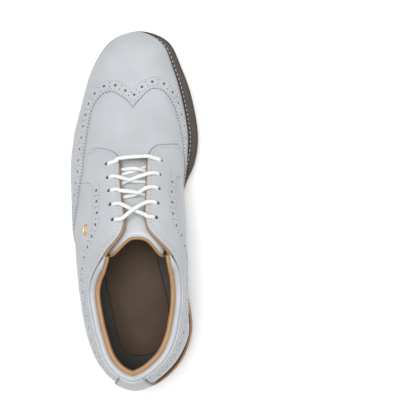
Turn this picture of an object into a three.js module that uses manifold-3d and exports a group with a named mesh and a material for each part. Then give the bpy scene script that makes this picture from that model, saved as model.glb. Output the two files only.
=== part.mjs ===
// Golf shoe, left foot, as an assembly of separate pieces. Millimetres, +Z up, +Y toward the toe, +X medial.
import * as THREE from "three";
import Module from "manifold-3d";

// Driving dimensions.
const GAP = 0.3; // clearance between neighbouring pieces
const UPPER_BASE = 12.8; // height of the feather line over the underside of the outsole
const OUTSOLE_THICK = 4.5;
const MIDSOLE_LOW = 4.8;
const MIDSOLE_HIGH = 9.2;
const WELT_LOW = 9.5;
const WELT_HIGH = 12.5;
const HEEL_BREAST_Y = -72;
const HEEL_LIFT_LOW = 5;
const HEEL_LIFT_HIGH = 9;
const LEATHER = [-1.2, 0]; // vamp and quarters, measured out from the upper's reference surface
const OVERLAY = [0.65, 1.8]; // wing tip, facings and back strap
const STIFFENER = [-2.75, -1.55];
const COLLAR_FOAM = [-2.6, -1.55];
const LINING = [-4, -3.1];
const TONGUE_LEATHER = [-9.6, -8.7];
const TONGUE_FOAM = [-11.9, -9.9];
const TONGUE_LINING = [-12.9, -12.2];
const LACE_RADIUS = 1.5;
const EYELET_RADIUS = 2.7;
const SPIKE_RADIUS = 11;
const SPIKE_HUB = 1.8;
const SPIKE_DROP = 5;
const RECEPTACLE_RADIUS = 7;

// The outsole's outline from the heel round the lateral side to the toe and back along the medial side.
// Each row: x, y, ledge from the outline in to the upper, then the upper's side: bulge, rise and reach.
const RING = [
  [3, -150.5, 5, 7, 30, 14],
  [-16, -144.5, 5.5, 7, 30, 14],
  [-31, -125.5, 4.8, 9.5, 30, 14],
  [-39.5, -100, 4.2, 12.5, 30, 15],
  [-42.5, -70, 3.2, 16, 30, 19],
  [-43, -35, 2.8, 22, 32, 25],
  [-47, 0, 3.5, 20, 34, 28],
  [-54, 35, 4.5, 12, 30, 28],
  [-54, 62, 4.6, 6, 27, 30],
  [-47, 90, 3.9, 4, 24, 32],
  [-37.5, 120, 3.5, 3, 22, 38],
  [-20.8, 144.2, 3.3, 2, 21, 44],
  [4, 152.5, 3.1, 2, 20, 46],
  [28, 144, 7, 2, 21, 44],
  [39.5, 122, 8.8, 3, 22, 38],
  [48, 98, 10.8, 4, 24, 34],
  [53.5, 66, 11, 5, 27, 30],
  [51, 42, 9.8, 7, 30, 26],
  [43, 22, 6, 12.8, 32, 28],
  [37, 0, 2.5, 20.8, 34, 32],
  [36, -30, 2.5, 23.8, 32, 34],
  [42, -60, 3.5, 15.6, 30, 31],
  [47.5, -85, 4, 9.6, 30, 27],
  [48, -105, 4, 8, 30, 21],
  [39, -128, 6, 7, 30, 15],
  [21, -145.5, 6.5, 7, 30, 14],
];
const ROUND = RING.length;
// Height of the outsole's underside along Y: heel seat, waist, ball and toe spring.
const SOLE = [
  [-152, 19.5], [-75, 19.5], [-55, 18], [-30, 15.2], [0, 11.6], [20, 9],
  [40, 6.6], [60, 5.5], [80, 6.2], [100, 8.4], [125, 11.4], [152, 14.6],
];
// The ridge along the top of the foot: its height and its X along Y.
const RIDGE = [[-105, 125], [-70, 121], [-40, 114], [-20, 108], [0, 100], [25, 87], [50, 73], [74, 61.5], [80, 59]];
const SPINE = [[-105, 7], [-60, 7], [-20, 7.8], [0, 6.5], [40, 4], [74, 1.5], [90, 1.2]];
const POLE_HEEL = -105;
const POLE_TOE = 74;
const POLE_SOFT = 16;

// Edges of the pieces on the surface: pairs of u round the shoe and v up from the feather line.
const WING_EDGE = [
  [4.6, 0], [5.2, 0.16], [5.6, 0.28], [6.06, 0.396], [6.44, 0.438], [6.85, 0.481], [7.51, 0.494], [8, 0.51],
  [8.54, 0.522], [9.05, 0.543], [9.5, 0.61], [9.97, 0.698], [10.43, 0.815], [11, 0.885], [11.79, 0.934],
  [12.6, 0.89], [13.3, 0.822], [14.01, 0.672], [14.45, 0.6], [14.9, 0.546], [15.47, 0.463], [15.89, 0.397],
  [16.43, 0.318], [17, 0.26], [17.9, 0.17], [19, 0.06], [19.5, 0],
];
const TOPLINE_LATERAL = [
  [0, 0.55], [1, 0.56], [2, 0.56], [2.8, 0.54], [3.5, 0.51], [4.15, 0.505], [4.5, 0.56], [4.96, 0.69],
  [5.14, 0.739], [5.36, 0.819], [5.58, 0.878], [5.86, 0.901], [6.23, 0.884], [6.66, 0.867], [7.13, 0.857],
  [7.3, 0.835], [7.44, 0.76], [7.5, 0.66],
];
const TOPLINE_MEDIAL = [
  [16.6, 0.62], [16.68, 0.757], [16.91, 0.822], [17.22, 0.854], [17.91, 0.875], [18.56, 0.896], [18.98, 0.911],
  [19.4, 0.902], [19.64, 0.844], [19.99, 0.705], [20.2, 0.635], [20.6, 0.525], [21.2, 0.465], [22, 0.49],
  [23, 0.53], [24, 0.56], [25, 0.565], [26, 0.55],
];
const FACING_LATERAL = [
  [0, 0.42], [2, 0.42], [2.88, 0.415], [3.3, 0.4], [3.64, 0.385], [3.95, 0.385], [4.46, 0.4], [4.73, 0.43],
  [4.91, 0.46], [5.13, 0.5], [5.31, 0.545], [5.6, 0.6], [5.8, 0.63], [6.33, 0.62], [6.56, 0.6], [6.6, 0.55],
  [7, 0.545], [7.47, 0.575],
];
const FACING_MEDIAL = [
  [16.54, 0.441], [17, 0.4], [17.6, 0.38], [17.8, 0.4], [17.87, 0.5], [18.33, 0.555], [18.74, 0.58], [19.08, 0.6],
  [19.41, 0.57], [19.64, 0.5], [20, 0.42], [20.5, 0.33], [21, 0.29], [21.8, 0.28], [22.4, 0.36], [23.1, 0.41],
  [24, 0.42], [26, 0.42],
];
const EYELETS_LATERAL = [[7.02, 0.738], [6.68, 0.752], [6.39, 0.766], [6.1, 0.78], [5.78, 0.797]];
const EYELETS_MEDIAL = [[17.3, 0.696], [17.84, 0.727], [18.33, 0.754], [18.81, 0.784], [19.21, 0.813]];
const V_LINES = [0.1, 0.2, 0.3, 0.41, 0.53, 0.66, 0.8, 0.92];
const SPIKES = [
  [-27, 104], [24, 106], [-34, 60], [35, 62], [3, 82], [-24, -98], [30, -100], [3, -134],
];

const wasm = await Module();
wasm.setup();
const shoe = new THREE.Group();
shoe.name = "golf_shoe";

const MATERIALS = {
  leather: [0xcdd1d7, 0.45, 0],
  binding: [0xdfe0e0, 0.5, 0],
  tan: [0xb07c4a, 0.6, 0],
  welt: [0x54423a, 0.7, 0],
  midsole: [0x6b4a33, 0.7, 0],
  outsole: [0xc9c6bf, 0.55, 0],
  heel: [0xa06e46, 0.6, 0],
  lift: [0x3d3a38, 0.7, 0],
  spike: [0x4b4f55, 0.5, 0],
  receptacle: [0x2c2e31, 0.5, 0],
  foam: [0x3e3c38, 0.9, 0],
  cover: [0x5f4e3c, 0.8, 0],
  lace: [0xe8e9e6, 0.85, 0],
  clear: [0xd9d7cf, 0.3, 0],
  gold: [0xc9a24a, 0.3, 1],
  steel: [0x8d9196, 0.35, 1],
  cork: [0x9b7247, 0.9, 0],
  board: [0xb9a27e, 0.85, 0],
  stiffener: [0xd8d2c2, 0.8, 0],
};

function add(name, geometry, material) {
  const [color, roughness, metalness] = MATERIALS[material];
  const mesh = new THREE.Mesh(geometry, new THREE.MeshStandardMaterial({ color, roughness, metalness }));
  mesh.name = name;
  shoe.add(mesh);
}

function spline(p0, p1, p2, p3, t) {
  const a = p2 - p0;
  const b = 2 * p0 - 5 * p1 + 4 * p2 - p3;
  const c = 3 * p1 - p0 - 3 * p2 + p3;
  return p1 + 0.5 * t * (a + t * (b + t * c));
}

// A smooth value from rows of [x, value].
function curve(rows, x) {
  const last = rows.length - 1;
  if (x <= rows[0][0]) return rows[0][1];
  if (x >= rows[last][0]) return rows[last][1];
  let i = 0;
  while (x > rows[i + 1][0]) i++;
  const slope = (k) => {
    const a = rows[Math.max(0, k - 1)];
    const b = rows[Math.min(last, k + 1)];
    return (b[1] - a[1]) / (b[0] - a[0]);
  };
  const h = rows[i + 1][0] - rows[i][0];
  const t = (x - rows[i][0]) / h;
  const s = t * t * (3 - 2 * t);
  return rows[i][1] * (1 - s) + rows[i + 1][1] * s + h * t * (1 - t) * (slope(i) * (1 - t) - slope(i + 1) * t);
}

// A straight-line value from rows of [x, value].
function broken(rows, x) {
  const last = rows.length - 1;
  if (x <= rows[0][0]) return rows[0][1];
  if (x >= rows[last][0]) return rows[last][1];
  let i = 0;
  while (x > rows[i + 1][0]) i++;
  const t = (x - rows[i][0]) / (rows[i + 1][0] - rows[i][0]);
  return rows[i][1] * (1 - t) + rows[i + 1][1] * t;
}

function ringRow(u) {
  const i = Math.floor(u);
  const row = (k) => RING[(((i + k) % ROUND) + ROUND) % ROUND];
  return RING[0].map((_, c) => spline(row(-1)[c], row(0)[c], row(1)[c], row(2)[c], u - i));
}

// A point of the outline, moved in by a distance.
function outline(u, inset) {
  const p = ringRow(u);
  const a = ringRow(u - 0.01);
  const b = ringRow(u + 0.01);
  const length = Math.hypot(b[0] - a[0], b[1] - a[1]);
  return [p[0] + ((b[1] - a[1]) / length) * inset, p[1] - ((b[0] - a[0]) / length) * inset];
}

// Y held between the two poles, with a soft start.
function held(y) {
  const ramp = (d) => {
    if (d > POLE_SOFT) return d;
    return d < -POLE_SOFT ? 0 : (d + POLE_SOFT) ** 2 / (4 * POLE_SOFT);
  };
  return POLE_TOE - ramp(POLE_TOE - POLE_HEEL - ramp(y - POLE_HEEL));
}

function section(u) {
  const [, , ledge, bulge, rise, reach] = ringRow(u);
  const [fx, fy] = outline(u, ledge);
  const fz = curve(SOLE, fy) + UPPER_BASE;
  const qy = held(fy);
  const qx = curve(SPINE, qy);
  const qz = curve(RIDGE, qy);
  const distance = Math.hypot(fx - qx, fy - qy);
  const dx = (fx - qx) / distance;
  const dy = (fy - qy) / distance;
  const slope = curve(RIDGE, Math.min(qy + 0.5, 80)) - curve(RIDGE, qy - 0.5);
  return [
    [fx, fy, fz],
    [fx + dx * bulge, fy + dy * bulge, fz + rise],
    [qx + dx * reach, qy + dy * reach, qz + slope * dy * reach],
    [qx, qy, qz],
  ];
}

function bare(u, v) {
  const [a, b, c, d] = section(u);
  const w = 1 - v;
  return a.map((_, i) => a[i] * w ** 3 + 3 * b[i] * v * w * w + 3 * c[i] * v * v * w + d[i] * v ** 3);
}

// A point of the upper's reference surface, moved out along its normal.
function surface(u, v, offset) {
  const p = new THREE.Vector3(...bare(u, v));
  return p.addScaledVector(normal(u, v), offset);
}

function normal(u, v) {
  const vu = Math.min(v, 0.97);
  const low = Math.min(Math.max(0, v - 0.004), 0.975);
  const high = Math.min(0.985, low + 0.008);
  const across = new THREE.Vector3(...bare(u + 0.02, vu)).sub(new THREE.Vector3(...bare(u - 0.02, vu)));
  const up = new THREE.Vector3(...bare(u, high)).sub(new THREE.Vector3(...bare(u, low)));
  return up.cross(across).normalize();
}

// The u on one side of the shoe whose section stands at ridge position y.
function sideU(y, from, to) {
  let a = from;
  let b = to;
  for (let i = 0; i < 40; i++) {
    const m = (a + b) / 2;
    if (held(outline(m, ringRow(m)[2])[1]) < y) a = m;
    else b = m;
  }
  return (a + b) / 2;
}

// Section lines round the shoe: the same set for every layer, so neighbouring layers keep their gap.
function sectionLines() {
  const stations = [];
  for (let y = -91; y < 58; y += 12) stations.push(y);
  stations.push(64, 71);
  const lateral = stations.map((y) => sideU(y, 1.5, 11));
  const medial = stations.map((y) => sideU(y, 24.5, 13)).reverse();
  const lines = [];
  for (let i = 0; i < 5; i++) lines.push((lateral[0] * i) / 5);
  lines.push(...lateral);
  const start = lateral[lateral.length - 1];
  for (let i = 1; i < 13; i++) lines.push(start + ((medial[0] - start) * i) / 13);
  lines.push(...medial);
  const end = medial[medial.length - 1];
  for (let i = 1; i < 5; i++) lines.push(end + ((ROUND - end) * i) / 5);
  return lines;
}
const LINES = sectionLines();

function linesBetween(from, to) {
  const found = [];
  for (let lap = -1; lap < 2; lap++) {
    for (const line of LINES) {
      const u = line + lap * ROUND;
      if (u > from + 0.06 && u < to - 0.06) found.push(u);
    }
  }
  return [from, ...found.sort((a, b) => a - b), to];
}

// Triangles between two section lines, each a rising list of v.
function zip(ua, va, ub, vb) {
  const cells = [];
  let i = 0;
  let j = 0;
  while (i < va.length - 1 || j < vb.length - 1) {
    const stepA = j === vb.length - 1 || (i < va.length - 1 && va[i + 1] <= vb[j + 1] + 1e-9);
    if (stepA) {
      cells.push([[ua, va[i]], [ua, va[i + 1]], [ub, vb[j]]]);
      i++;
    } else {
      cells.push([[ua, va[i]], [ub, vb[j + 1]], [ub, vb[j]]]);
      j++;
    }
  }
  return cells;
}

function band(lines, low, high) {
  const lists = lines.map((u) => {
    const a = low(u);
    const b = Math.max(high(u), a + 0.004);
    return [a, ...V_LINES.filter((v) => v > a + 0.02 && v < b - 0.02), b];
  });
  const cells = [];
  for (let i = 0; i < lines.length - 1; i++) cells.push(...zip(lines[i], lists[i], lines[i + 1], lists[i + 1]));
  return cells;
}

function geometryOf(points, faces) {
  const geometry = new THREE.BufferGeometry();
  const flat = points.flatMap((p) => [p.x, p.y, p.z]);
  geometry.setAttribute("position", new THREE.Float32BufferAttribute(flat, 3));
  geometry.setIndex(faces.flat());
  const loose = geometry.toNonIndexed();
  loose.computeVertexNormals();
  return loose;
}

// A shell from triangles on the surface, between two offsets from it.
function thicken(cells, [inner, outer]) {
  const seen = new Map();
  const outerPoints = [];
  const innerPoints = [];
  const index = ([u, v]) => {
    const p = bare(u, v);
    const key = p.map((c) => Math.round(c * 50)).join(",");
    if (!seen.has(key)) {
      seen.set(key, outerPoints.length);
      outerPoints.push(surface(u, v, outer));
      innerPoints.push(surface(u, v, inner));
    }
    return seen.get(key);
  };
  const top = cells.map((c) => c.map(index)).filter(([a, b, c]) => a !== b && b !== c && c !== a);
  const count = outerPoints.length;
  const edges = new Set(top.flatMap(([a, b, c]) => [`${a},${b}`, `${b},${c}`, `${c},${a}`]));
  const faces = top.concat(top.map(([a, b, c]) => [a + count, c + count, b + count]));
  for (const edge of edges) {
    const [a, b] = edge.split(",").map(Number);
    if (!edges.has(`${b},${a}`)) faces.push([b, a, a + count], [b, a + count, b + count]);
  }
  return geometryOf([...outerPoints, ...innerPoints], faces);
}

function manifoldOf(geometry) {
  const position = geometry.getAttribute("position");
  const seen = new Map();
  const points = [];
  const triangles = [];
  const order = geometry.index ? geometry.index.array : [...Array(position.count).keys()];
  for (const i of order) {
    const p = [position.getX(i), position.getY(i), position.getZ(i)];
    const key = p.map((c) => Math.round(c * 2000)).join(",");
    if (!seen.has(key)) {
      seen.set(key, points.length / 3);
      points.push(...p);
    }
    triangles.push(seen.get(key));
  }
  const kept = [];
  for (let i = 0; i < triangles.length; i += 3) {
    const [a, b, c] = triangles.slice(i, i + 3);
    if (a !== b && b !== c && c !== a) kept.push(a, b, c);
  }
  const mesh = new wasm.Mesh({
    numProp: 3,
    vertProperties: new Float32Array(points),
    triVerts: new Uint32Array(kept),
  });
  return new wasm.Manifold(mesh);
}

function geometryFrom(manifold) {
  const { vertProperties, triVerts } = manifold.getMesh();
  const geometry = new THREE.BufferGeometry();
  geometry.setAttribute("position", new THREE.BufferAttribute(new Float32Array(vertProperties), 3));
  geometry.setIndex(Array.from(triVerts));
  const loose = geometry.toNonIndexed();
  loose.computeVertexNormals();
  return loose;
}

function cut(geometry, tools) {
  let solid = manifoldOf(geometry);
  for (const tool of tools) solid = solid.subtract(manifoldOf(tool));
  return geometryFrom(solid);
}

function join(pieces) {
  let solid = manifoldOf(pieces[0]);
  for (const piece of pieces.slice(1)) solid = solid.add(manifoldOf(piece));
  return geometryFrom(solid);
}

// A sole layer between two heights over the outsole's underside, or fixed heights given as functions of y.
function slab(inset, y0, y1, low, high, steps) {
  const margin = (u) => (typeof inset === "function" ? inset(u) : inset);
  const at = (u) => outline(u, margin(u));
  let toe = 12;
  let heel = 0;
  for (let u = 11.5; u < 12.6; u += 0.02) if (at(u)[1] > at(toe)[1]) toe = u;
  for (let u = -0.6; u < 0.6; u += 0.02) if (at(u)[1] < at(heel)[1]) heel = u;
  const start = Math.max(y0, at(heel)[1] + 0.15);
  const end = Math.min(y1, at(toe)[1] - 0.15);
  const find = (y, from, to) => {
    let a = from;
    let b = to;
    for (let i = 0; i < 40; i++) {
      const m = (a + b) / 2;
      if (at(m)[1] < y) a = m;
      else b = m;
    }
    return at((a + b) / 2)[0];
  };
  const points = [];
  for (let i = 0; i <= steps; i++) {
    const y = start + ((end - start) * (1 - Math.cos((Math.PI * i) / steps))) / 2;
    const lateral = find(y, heel, toe);
    const medial = find(y, heel + ROUND, toe);
    points.push(new THREE.Vector3(lateral, y, low(y)), new THREE.Vector3(medial, y, low(y)));
    points.push(new THREE.Vector3(medial, y, high(y)), new THREE.Vector3(lateral, y, high(y)));
  }
  return loft(points, 4);
}

// Six times the volume that a list of faces encloses, negative when they face inward.
function enclosed(points, faces) {
  return faces.reduce((sum, [a, b, c]) => sum + points[a].dot(points[b].clone().cross(points[c])), 0);
}

// A closed solid from rings of points.
function loft(points, size) {
  const rings = points.length / size;
  const faces = [];
  for (let i = 0; i < rings - 1; i++) {
    for (let k = 0; k < size; k++) {
      const a = i * size + k;
      const b = i * size + ((k + 1) % size);
      faces.push([a, a + size, b], [b, a + size, b + size]);
    }
  }
  const last = (rings - 1) * size;
  for (let k = 1; k < size - 1; k++) {
    faces.push([0, k, k + 1]);
    faces.push([last, last + k + 1, last + k]);
  }
  if (enclosed(points, faces) < 0) faces.forEach((face) => face.reverse());
  return geometryOf(points, faces);
}

// A strip along the outline between two insets and two heights over the outsole's underside.
function strip(from, to, outer, inner, low, high, steps) {
  const points = [];
  for (let i = 0; i <= steps; i++) {
    const u = from + ((to - from) * i) / steps;
    const a = outline(u, outer(u));
    const b = outline(u, inner(u));
    const za = curve(SOLE, a[1]);
    const zb = curve(SOLE, b[1]);
    points.push(new THREE.Vector3(...b, zb + low), new THREE.Vector3(...a, za + low));
    points.push(new THREE.Vector3(...a, za + high), new THREE.Vector3(...b, zb + high));
  }
  return loft(points, 4);
}

function sole(offset) {
  return (y) => curve(SOLE, y) + offset;
}

// A round cord through a list of points.
function cord(path, radius, sides) {
  const points = [];
  let side = new THREE.Vector3(0, 0, 1);
  for (let i = 0; i < path.length; i++) {
    const before = path[Math.max(0, i - 1)];
    const after = path[Math.min(path.length - 1, i + 1)];
    const tangent = after.clone().sub(before).normalize();
    side = side.clone().addScaledVector(tangent, -side.dot(tangent)).normalize();
    const other = tangent.clone().cross(side);
    for (let k = 0; k < sides; k++) {
      const angle = (2 * Math.PI * k) / sides;
      const p = path[i].clone().addScaledVector(side, Math.cos(angle) * radius);
      points.push(p.addScaledVector(other, Math.sin(angle) * radius));
    }
  }
  return loft(points, sides);
}

// A cylinder across the surface at (u, v), from one offset to another.
function pin(u, v, radius, inner, outer) {
  const direction = normal(u, v);
  const geometry = new THREE.CylinderGeometry(radius, radius, outer - inner, 12);
  const turn = new THREE.Quaternion().setFromUnitVectors(new THREE.Vector3(0, 1, 0), direction);
  geometry.applyQuaternion(turn);
  const centre = surface(u, v, (inner + outer) / 2);
  return geometry.translate(centre.x, centre.y, centre.z);
}

function wrap(u) {
  return ((u % ROUND) + ROUND) % ROUND;
}

function topline(u) {
  const w = wrap(u);
  return w < 12 ? curve(TOPLINE_LATERAL, w) : curve(TOPLINE_MEDIAL, w);
}

function facingEdge(u) {
  const w = wrap(u);
  return w < 12 ? broken(FACING_LATERAL, w) : broken(FACING_MEDIAL, w);
}

function buildUpper() {
  const lateralSeam = LINES.find((u) => u > 6.5);
  const medialSeam = LINES.find((u) => u > 18);
  const ridgeStart = LINES.find((u) => u > 7.15);
  const ridgeEnd = LINES.filter((u) => u < 17.22).pop();
  const overRidge = (u) => u >= ridgeStart && u <= ridgeEnd;
  const besideRidge = (u) => (u > 7.1 && u < 17.25 ? 0.62 : 0);
  const underTab = (u) => (overRidge(u) ? 1 : Math.max(besideRidge(u), facingEdge(u) + 0.07));
  const vampLines = [...linesBetween(lateralSeam, medialSeam), 7.12, 17.24].sort((a, b) => a - b);
  add("vamp", thicken(band(vampLines, () => 0, underTab), LEATHER), "leather");
  const wingLines = linesBetween(4.75, 19.3);
  add("wing_tip", thicken(band(wingLines, () => 0.02, (u) => curve(WING_EDGE, u)), OVERLAY), "leather");
  const liningTop = (u) => (overRidge(u) ? 1 : Math.max(besideRidge(u), facingEdge(u)));
  add("vamp_lining", thicken(band(vampLines, () => 0.005, liningTop), LINING), "tan");
  const puffTop = (u) => Math.min(0.62, curve(WING_EDGE, u) - 0.04);
  add("toe_puff", thicken(band(linesBetween(9.2, 14.8), () => 0.01, puffTop), STIFFENER), "stiffener");

  const quarterTop = (u) => Math.min(facingEdge(u) + 0.06, topline(u) - 0.02);
  const seamGap = 0.05;
  const lateralLines = linesBetween(0.04, lateralSeam - seamGap);
  const medialLines = linesBetween(medialSeam + seamGap, ROUND - 0.04);
  add("quarter_lateral", thicken(band(lateralLines, () => 0, quarterTop), LEATHER), "leather");
  add("quarter_medial", thicken(band(medialLines, () => 0, quarterTop), LEATHER), "leather");

  const holes = (list) => list.map(([u, v]) => pin(u, v, EYELET_RADIUS, -6, 4));
  const facing = (lines, list) => cut(thicken(band(lines, facingEdge, topline), OVERLAY), holes(list));
  const lateralFacing = [...linesBetween(1.06, 7.3), 7.37, 7.44, 7.49];
  const medialFacing = [16.6, 16.67, 16.76, ...linesBetween(16.86, 24.94)];
  add("facing_lateral", facing(lateralFacing, EYELETS_LATERAL), "leather");
  add("facing_medial", facing(medialFacing, EYELETS_MEDIAL), "leather");
  const tape = (from, to, list) => {
    const low = (u) => facingEdge(u) + 0.13;
    return cut(thicken(band(linesBetween(from, to), low, (u) => topline(u) - 0.015), [-2.45, -1.85]), holes(list));
  };
  add("eyestay_tape_lateral", tape(5.5, 7.12, EYELETS_LATERAL), "stiffener");
  add("eyestay_tape_medial", tape(17.1, 19.5, EYELETS_MEDIAL), "stiffener");

  const quarterLining = (lines, list) => {
    const high = (u) => topline(u) - 0.012;
    return cut(thicken(band(lines, () => 0.005, high), LINING), holes(list));
  };
  add("quarter_lining_lateral", quarterLining(linesBetween(3.1, lateralSeam - seamGap), EYELETS_LATERAL), "tan");
  add("quarter_lining_medial", quarterLining(linesBetween(medialSeam + seamGap, 22.7), EYELETS_MEDIAL), "tan");
  const heelTop = (u) => topline(u) - 0.012;
  add("heel_lining", thicken(band(linesBetween(-3.25, 3.05), () => 0.005, heelTop), LINING), "tan");
  add("heel_counter", thicken(band(linesBetween(-3.6, 3.6), () => 0.01, () => 0.3), [-2.5, -1.8]), "stiffener");
  add("collar_foam", thicken(band(linesBetween(-5, 4.2), () => 0.33, heelTop), COLLAR_FOAM), "foam");
  add("back_strap", thicken(band(linesBetween(-1, 1), () => 0.03, topline), OVERLAY), "leather");
  add("collar_binding", binding(), "binding");
  add("emblem", thicken(band([5.47, 5.53, 5.59, 5.65], () => 0.5, () => 0.545), [0.35, 1]), "gold");
}

// The padded roll along the opening's edge.
function binding() {
  const points = [];
  const sides = 8;
  for (const u of linesBetween(-5.8, 4.95)) {
    const v = topline(u);
    const edge = surface(u, v, -1.3);
    const up = surface(u, v + 0.03, -1.3).sub(edge).normalize();
    const out = normal(u, v);
    const centre = edge.addScaledVector(up, 2.3);
    for (let k = 0; k < sides; k++) {
      const angle = (2 * Math.PI * (k + 0.5)) / sides;
      const p = centre.clone().addScaledVector(out, Math.cos(angle) * 2.9);
      points.push(p.addScaledVector(up, Math.sin(angle) * 2.1));
    }
  }
  return loft(points, sides);
}

function buildTongue() {
  const lateral = LINES.filter((u) => u > 5.02 && u < 7.85);
  const medial = LINES.filter((u) => u > 16.45 && u < 20.12);
  const low = (u) => (wrap(u) < 12 ? 0.66 : 0.64);
  const cells = band(lateral, low, () => 1).concat(band(medial, low, () => 1));
  add("tongue_outer", thicken(cells, TONGUE_LEATHER), "leather");
  add("tongue_foam", thicken(cells, TONGUE_FOAM), "foam");
  add("tongue_lining", thicken(cells, TONGUE_LINING), "tan");
}

// The lace: one cord, with its middle across the front pair of eyelets and both ends tucked in at the last pair.
function buildLace() {
  const under = -6.68;
  const over = 4;
  const middle = (a, b, height) => {
    const pa = surface(a[0], 0.97, height);
    return pa.lerp(surface(b[0], 0.97, height), 0.5);
  };
  const edgeOf = ([u], next, height) => {
    const w = u + (next - u) * 0.25;
    return surface(w, topline(w) + (height > 0 ? 0.015 : -0.02), height);
  };
  const half = (first, second, heights) => {
    const sides = [first, second];
    const path = [middle(first[0], second[0], over + 0.2)];
    path.push(surface(first[0][0], 0.87, over + 0.3), surface(first[0][0], first[0][1] + 0.05, over));
    path.push(surface(...first[0], 2.6), surface(...first[0], -0.8), surface(...first[0], -4.2));
    for (let i = 1; i < 5; i++) {
      const here = sides[(i + 1) % 2];
      const there = sides[i % 2];
      const from = here[i - 1];
      const to = there[i];
      const drop = i === 1 ? under : over;
      path.push(i === 1 ? surface(from[0], from[1] + 0.05, under) : surface(from[0], from[1] + 0.05, over));
      path.push(edgeOf(from, here[i][0], drop));
      path.push(middle(from, to, heights[i - 1]));
      const landing = i === 4 ? over : under;
      path.push(edgeOf(to, there[i - 1][0], landing));
      path.push(surface(to[0], to[1] + 0.05, landing));
      const levels = i === 4 ? [2.6, -0.8, -4.2] : [-4.2, -0.8, 2.6];
      for (const level of levels) path.push(surface(...to, level));
    }
    const [u, v] = sides[0][4];
    const sign = u < 12 ? -1 : 1;
    path.push(surface(u + sign * 0.12, v - 0.03, under), surface(u + sign * 0.3, v - 0.07, under));
    return path;
  };
  const a = half(EYELETS_LATERAL, EYELETS_MEDIAL, [-2.6, 0.6, 0.6, 5.6]);
  const b = half(EYELETS_MEDIAL, EYELETS_LATERAL, [-6.4, -3.4, -3.4, 1.8]);
  const route = [...a.slice(1).reverse(), ...b];
  add("lace", cord(route, LACE_RADIUS, 8), "lace");
  for (const [name, list] of [["aglet_1", EYELETS_LATERAL], ["aglet_2", EYELETS_MEDIAL]]) {
    const [u, v] = list[4];
    const sign = u < 12 ? -1 : 1;
    const path = [0.34, 0.48, 0.62].map((s) => surface(u + sign * s, v - 0.08 - (s - 0.34) * 0.3, under));
    add(name, cord(path, 1.3, 8), "clear");
  }
}

function buildSole(spots) {
  const fit = (extra) => (u) => ringRow(u)[2] + extra;
  const holes = spots.filter((s) => !s.heel).map((s) => s.tool(RECEPTACLE_RADIUS + GAP, -1, 7));
  add("outsole", cut(slab(0, -200, 200, sole(0), sole(OUTSOLE_THICK), 26), holes), "outsole");
  add("midsole", slab(0.8, -200, 200, sole(MIDSOLE_LOW), sole(MIDSOLE_HIGH), 26), "midsole");
  const welt = strip(4.35, 20.9, () => 0.4, () => 13, WELT_LOW, WELT_HIGH, 48);
  add("welt", welt, "welt");
  const rand = strip(21, 30.25, () => 0.4, () => 13, WELT_LOW, WELT_HIGH, 24);
  add("heel_rand", rand, "welt");
  const board = slab(14.2, -200, 200, sole(11.2), sole(12.5), 20);
  add("insole_board", board, "board");
  add("forefoot_filler", slab(14.2, -38, 200, sole(9.5), sole(10.9), 14), "cork");
  add("shank", shank(), "steel");
  const inner = fit(5.6);
  add("footbed_foam", slab(inner, -200, 200, sole(13.1), sole(17.4), 22), "foam");
  add("footbed_cover", slab(inner, -200, 200, sole(17.7), sole(18.7), 22), "cover");
  const heelHigh = () => SOLE[0][1] - GAP;
  const heelBlock = slab(0.6, -200, HEEL_BREAST_Y - 2, () => HEEL_LIFT_HIGH + GAP, heelHigh, 16);
  add("heel_block", heelBlock, "heel");
  const lift = slab(1.2, -200, HEEL_BREAST_Y - 2.6, () => HEEL_LIFT_LOW, () => HEEL_LIFT_HIGH, 16);
  const liftHoles = spots.filter((s) => s.heel).map((s) => s.tool(RECEPTACLE_RADIUS + GAP, -1, 5));
  add("heel_top_lift", cut(lift, liftHoles), "lift");
}

function shank() {
  const points = [];
  for (let i = 0; i <= 6; i++) {
    const y = -112 + i * 12;
    const half = i === 0 || i === 6 ? 5 : 8;
    const z = curve(SOLE, y) + 9.5;
    const x = 3 + i * 0.2;
    points.push(new THREE.Vector3(x - half, y, z), new THREE.Vector3(x + half, y, z));
    points.push(new THREE.Vector3(x + half, y, z + 1.4), new THREE.Vector3(x - half, y, z + 1.4));
  }
  return loft(points, 4);
}

// Where each spike sits: its place, its tilt with the sole, and a cylinder along its axis.
function spikeSpots() {
  return SPIKES.map(([x, y], i) => {
    const heel = y < HEEL_BREAST_Y;
    const z = heel ? HEEL_LIFT_LOW : curve(SOLE, y);
    const tilt = heel ? 0 : Math.atan(curve(SOLE, y + 0.5) - curve(SOLE, y - 0.5));
    const place = (geometry) => geometry.rotateX(tilt).translate(x, y, z);
    const tool = (radius, low, high) => {
      const geometry = new THREE.CylinderGeometry(radius, radius, high - low, 14).rotateX(Math.PI / 2);
      return place(geometry.translate(0, 0, (high + low) / 2));
    };
    return { heel, place, tool, number: i + 1 };
  });
}

function spikeGeometry() {
  const profile = [
    [0, 3.1], [4.2, 3.1], [4.2, -GAP], [SPIKE_RADIUS, -GAP], [SPIKE_RADIUS - 0.6, -SPIKE_HUB],
    [0, -SPIKE_HUB - 0.4],
  ];
  const points = profile.map(([r, z]) => new THREE.Vector2(r, z)).reverse();
  const hub = new THREE.LatheGeometry(points, 12).rotateX(Math.PI / 2);
  const legs = [];
  for (let k = 0; k < 6; k++) {
    const leg = new THREE.CylinderGeometry(1.9, 1.1, SPIKE_DROP - 1, 4).rotateX(Math.PI / 2);
    leg.translate(8, 0, -1 - (SPIKE_DROP - 1) / 2);
    legs.push(leg.rotateZ((k * Math.PI) / 3));
  }
  return join([hub, ...legs]);
}

function receptacleGeometry(height) {
  const r = RECEPTACLE_RADIUS;
  const profile = [[4.6, 0.1], [r, 0.1], [r, height], [4.6, height], [4.6, 0.1]];
  return new THREE.LatheGeometry(profile.map(([x, z]) => new THREE.Vector2(x, z)), 12).rotateX(Math.PI / 2);
}

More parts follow.
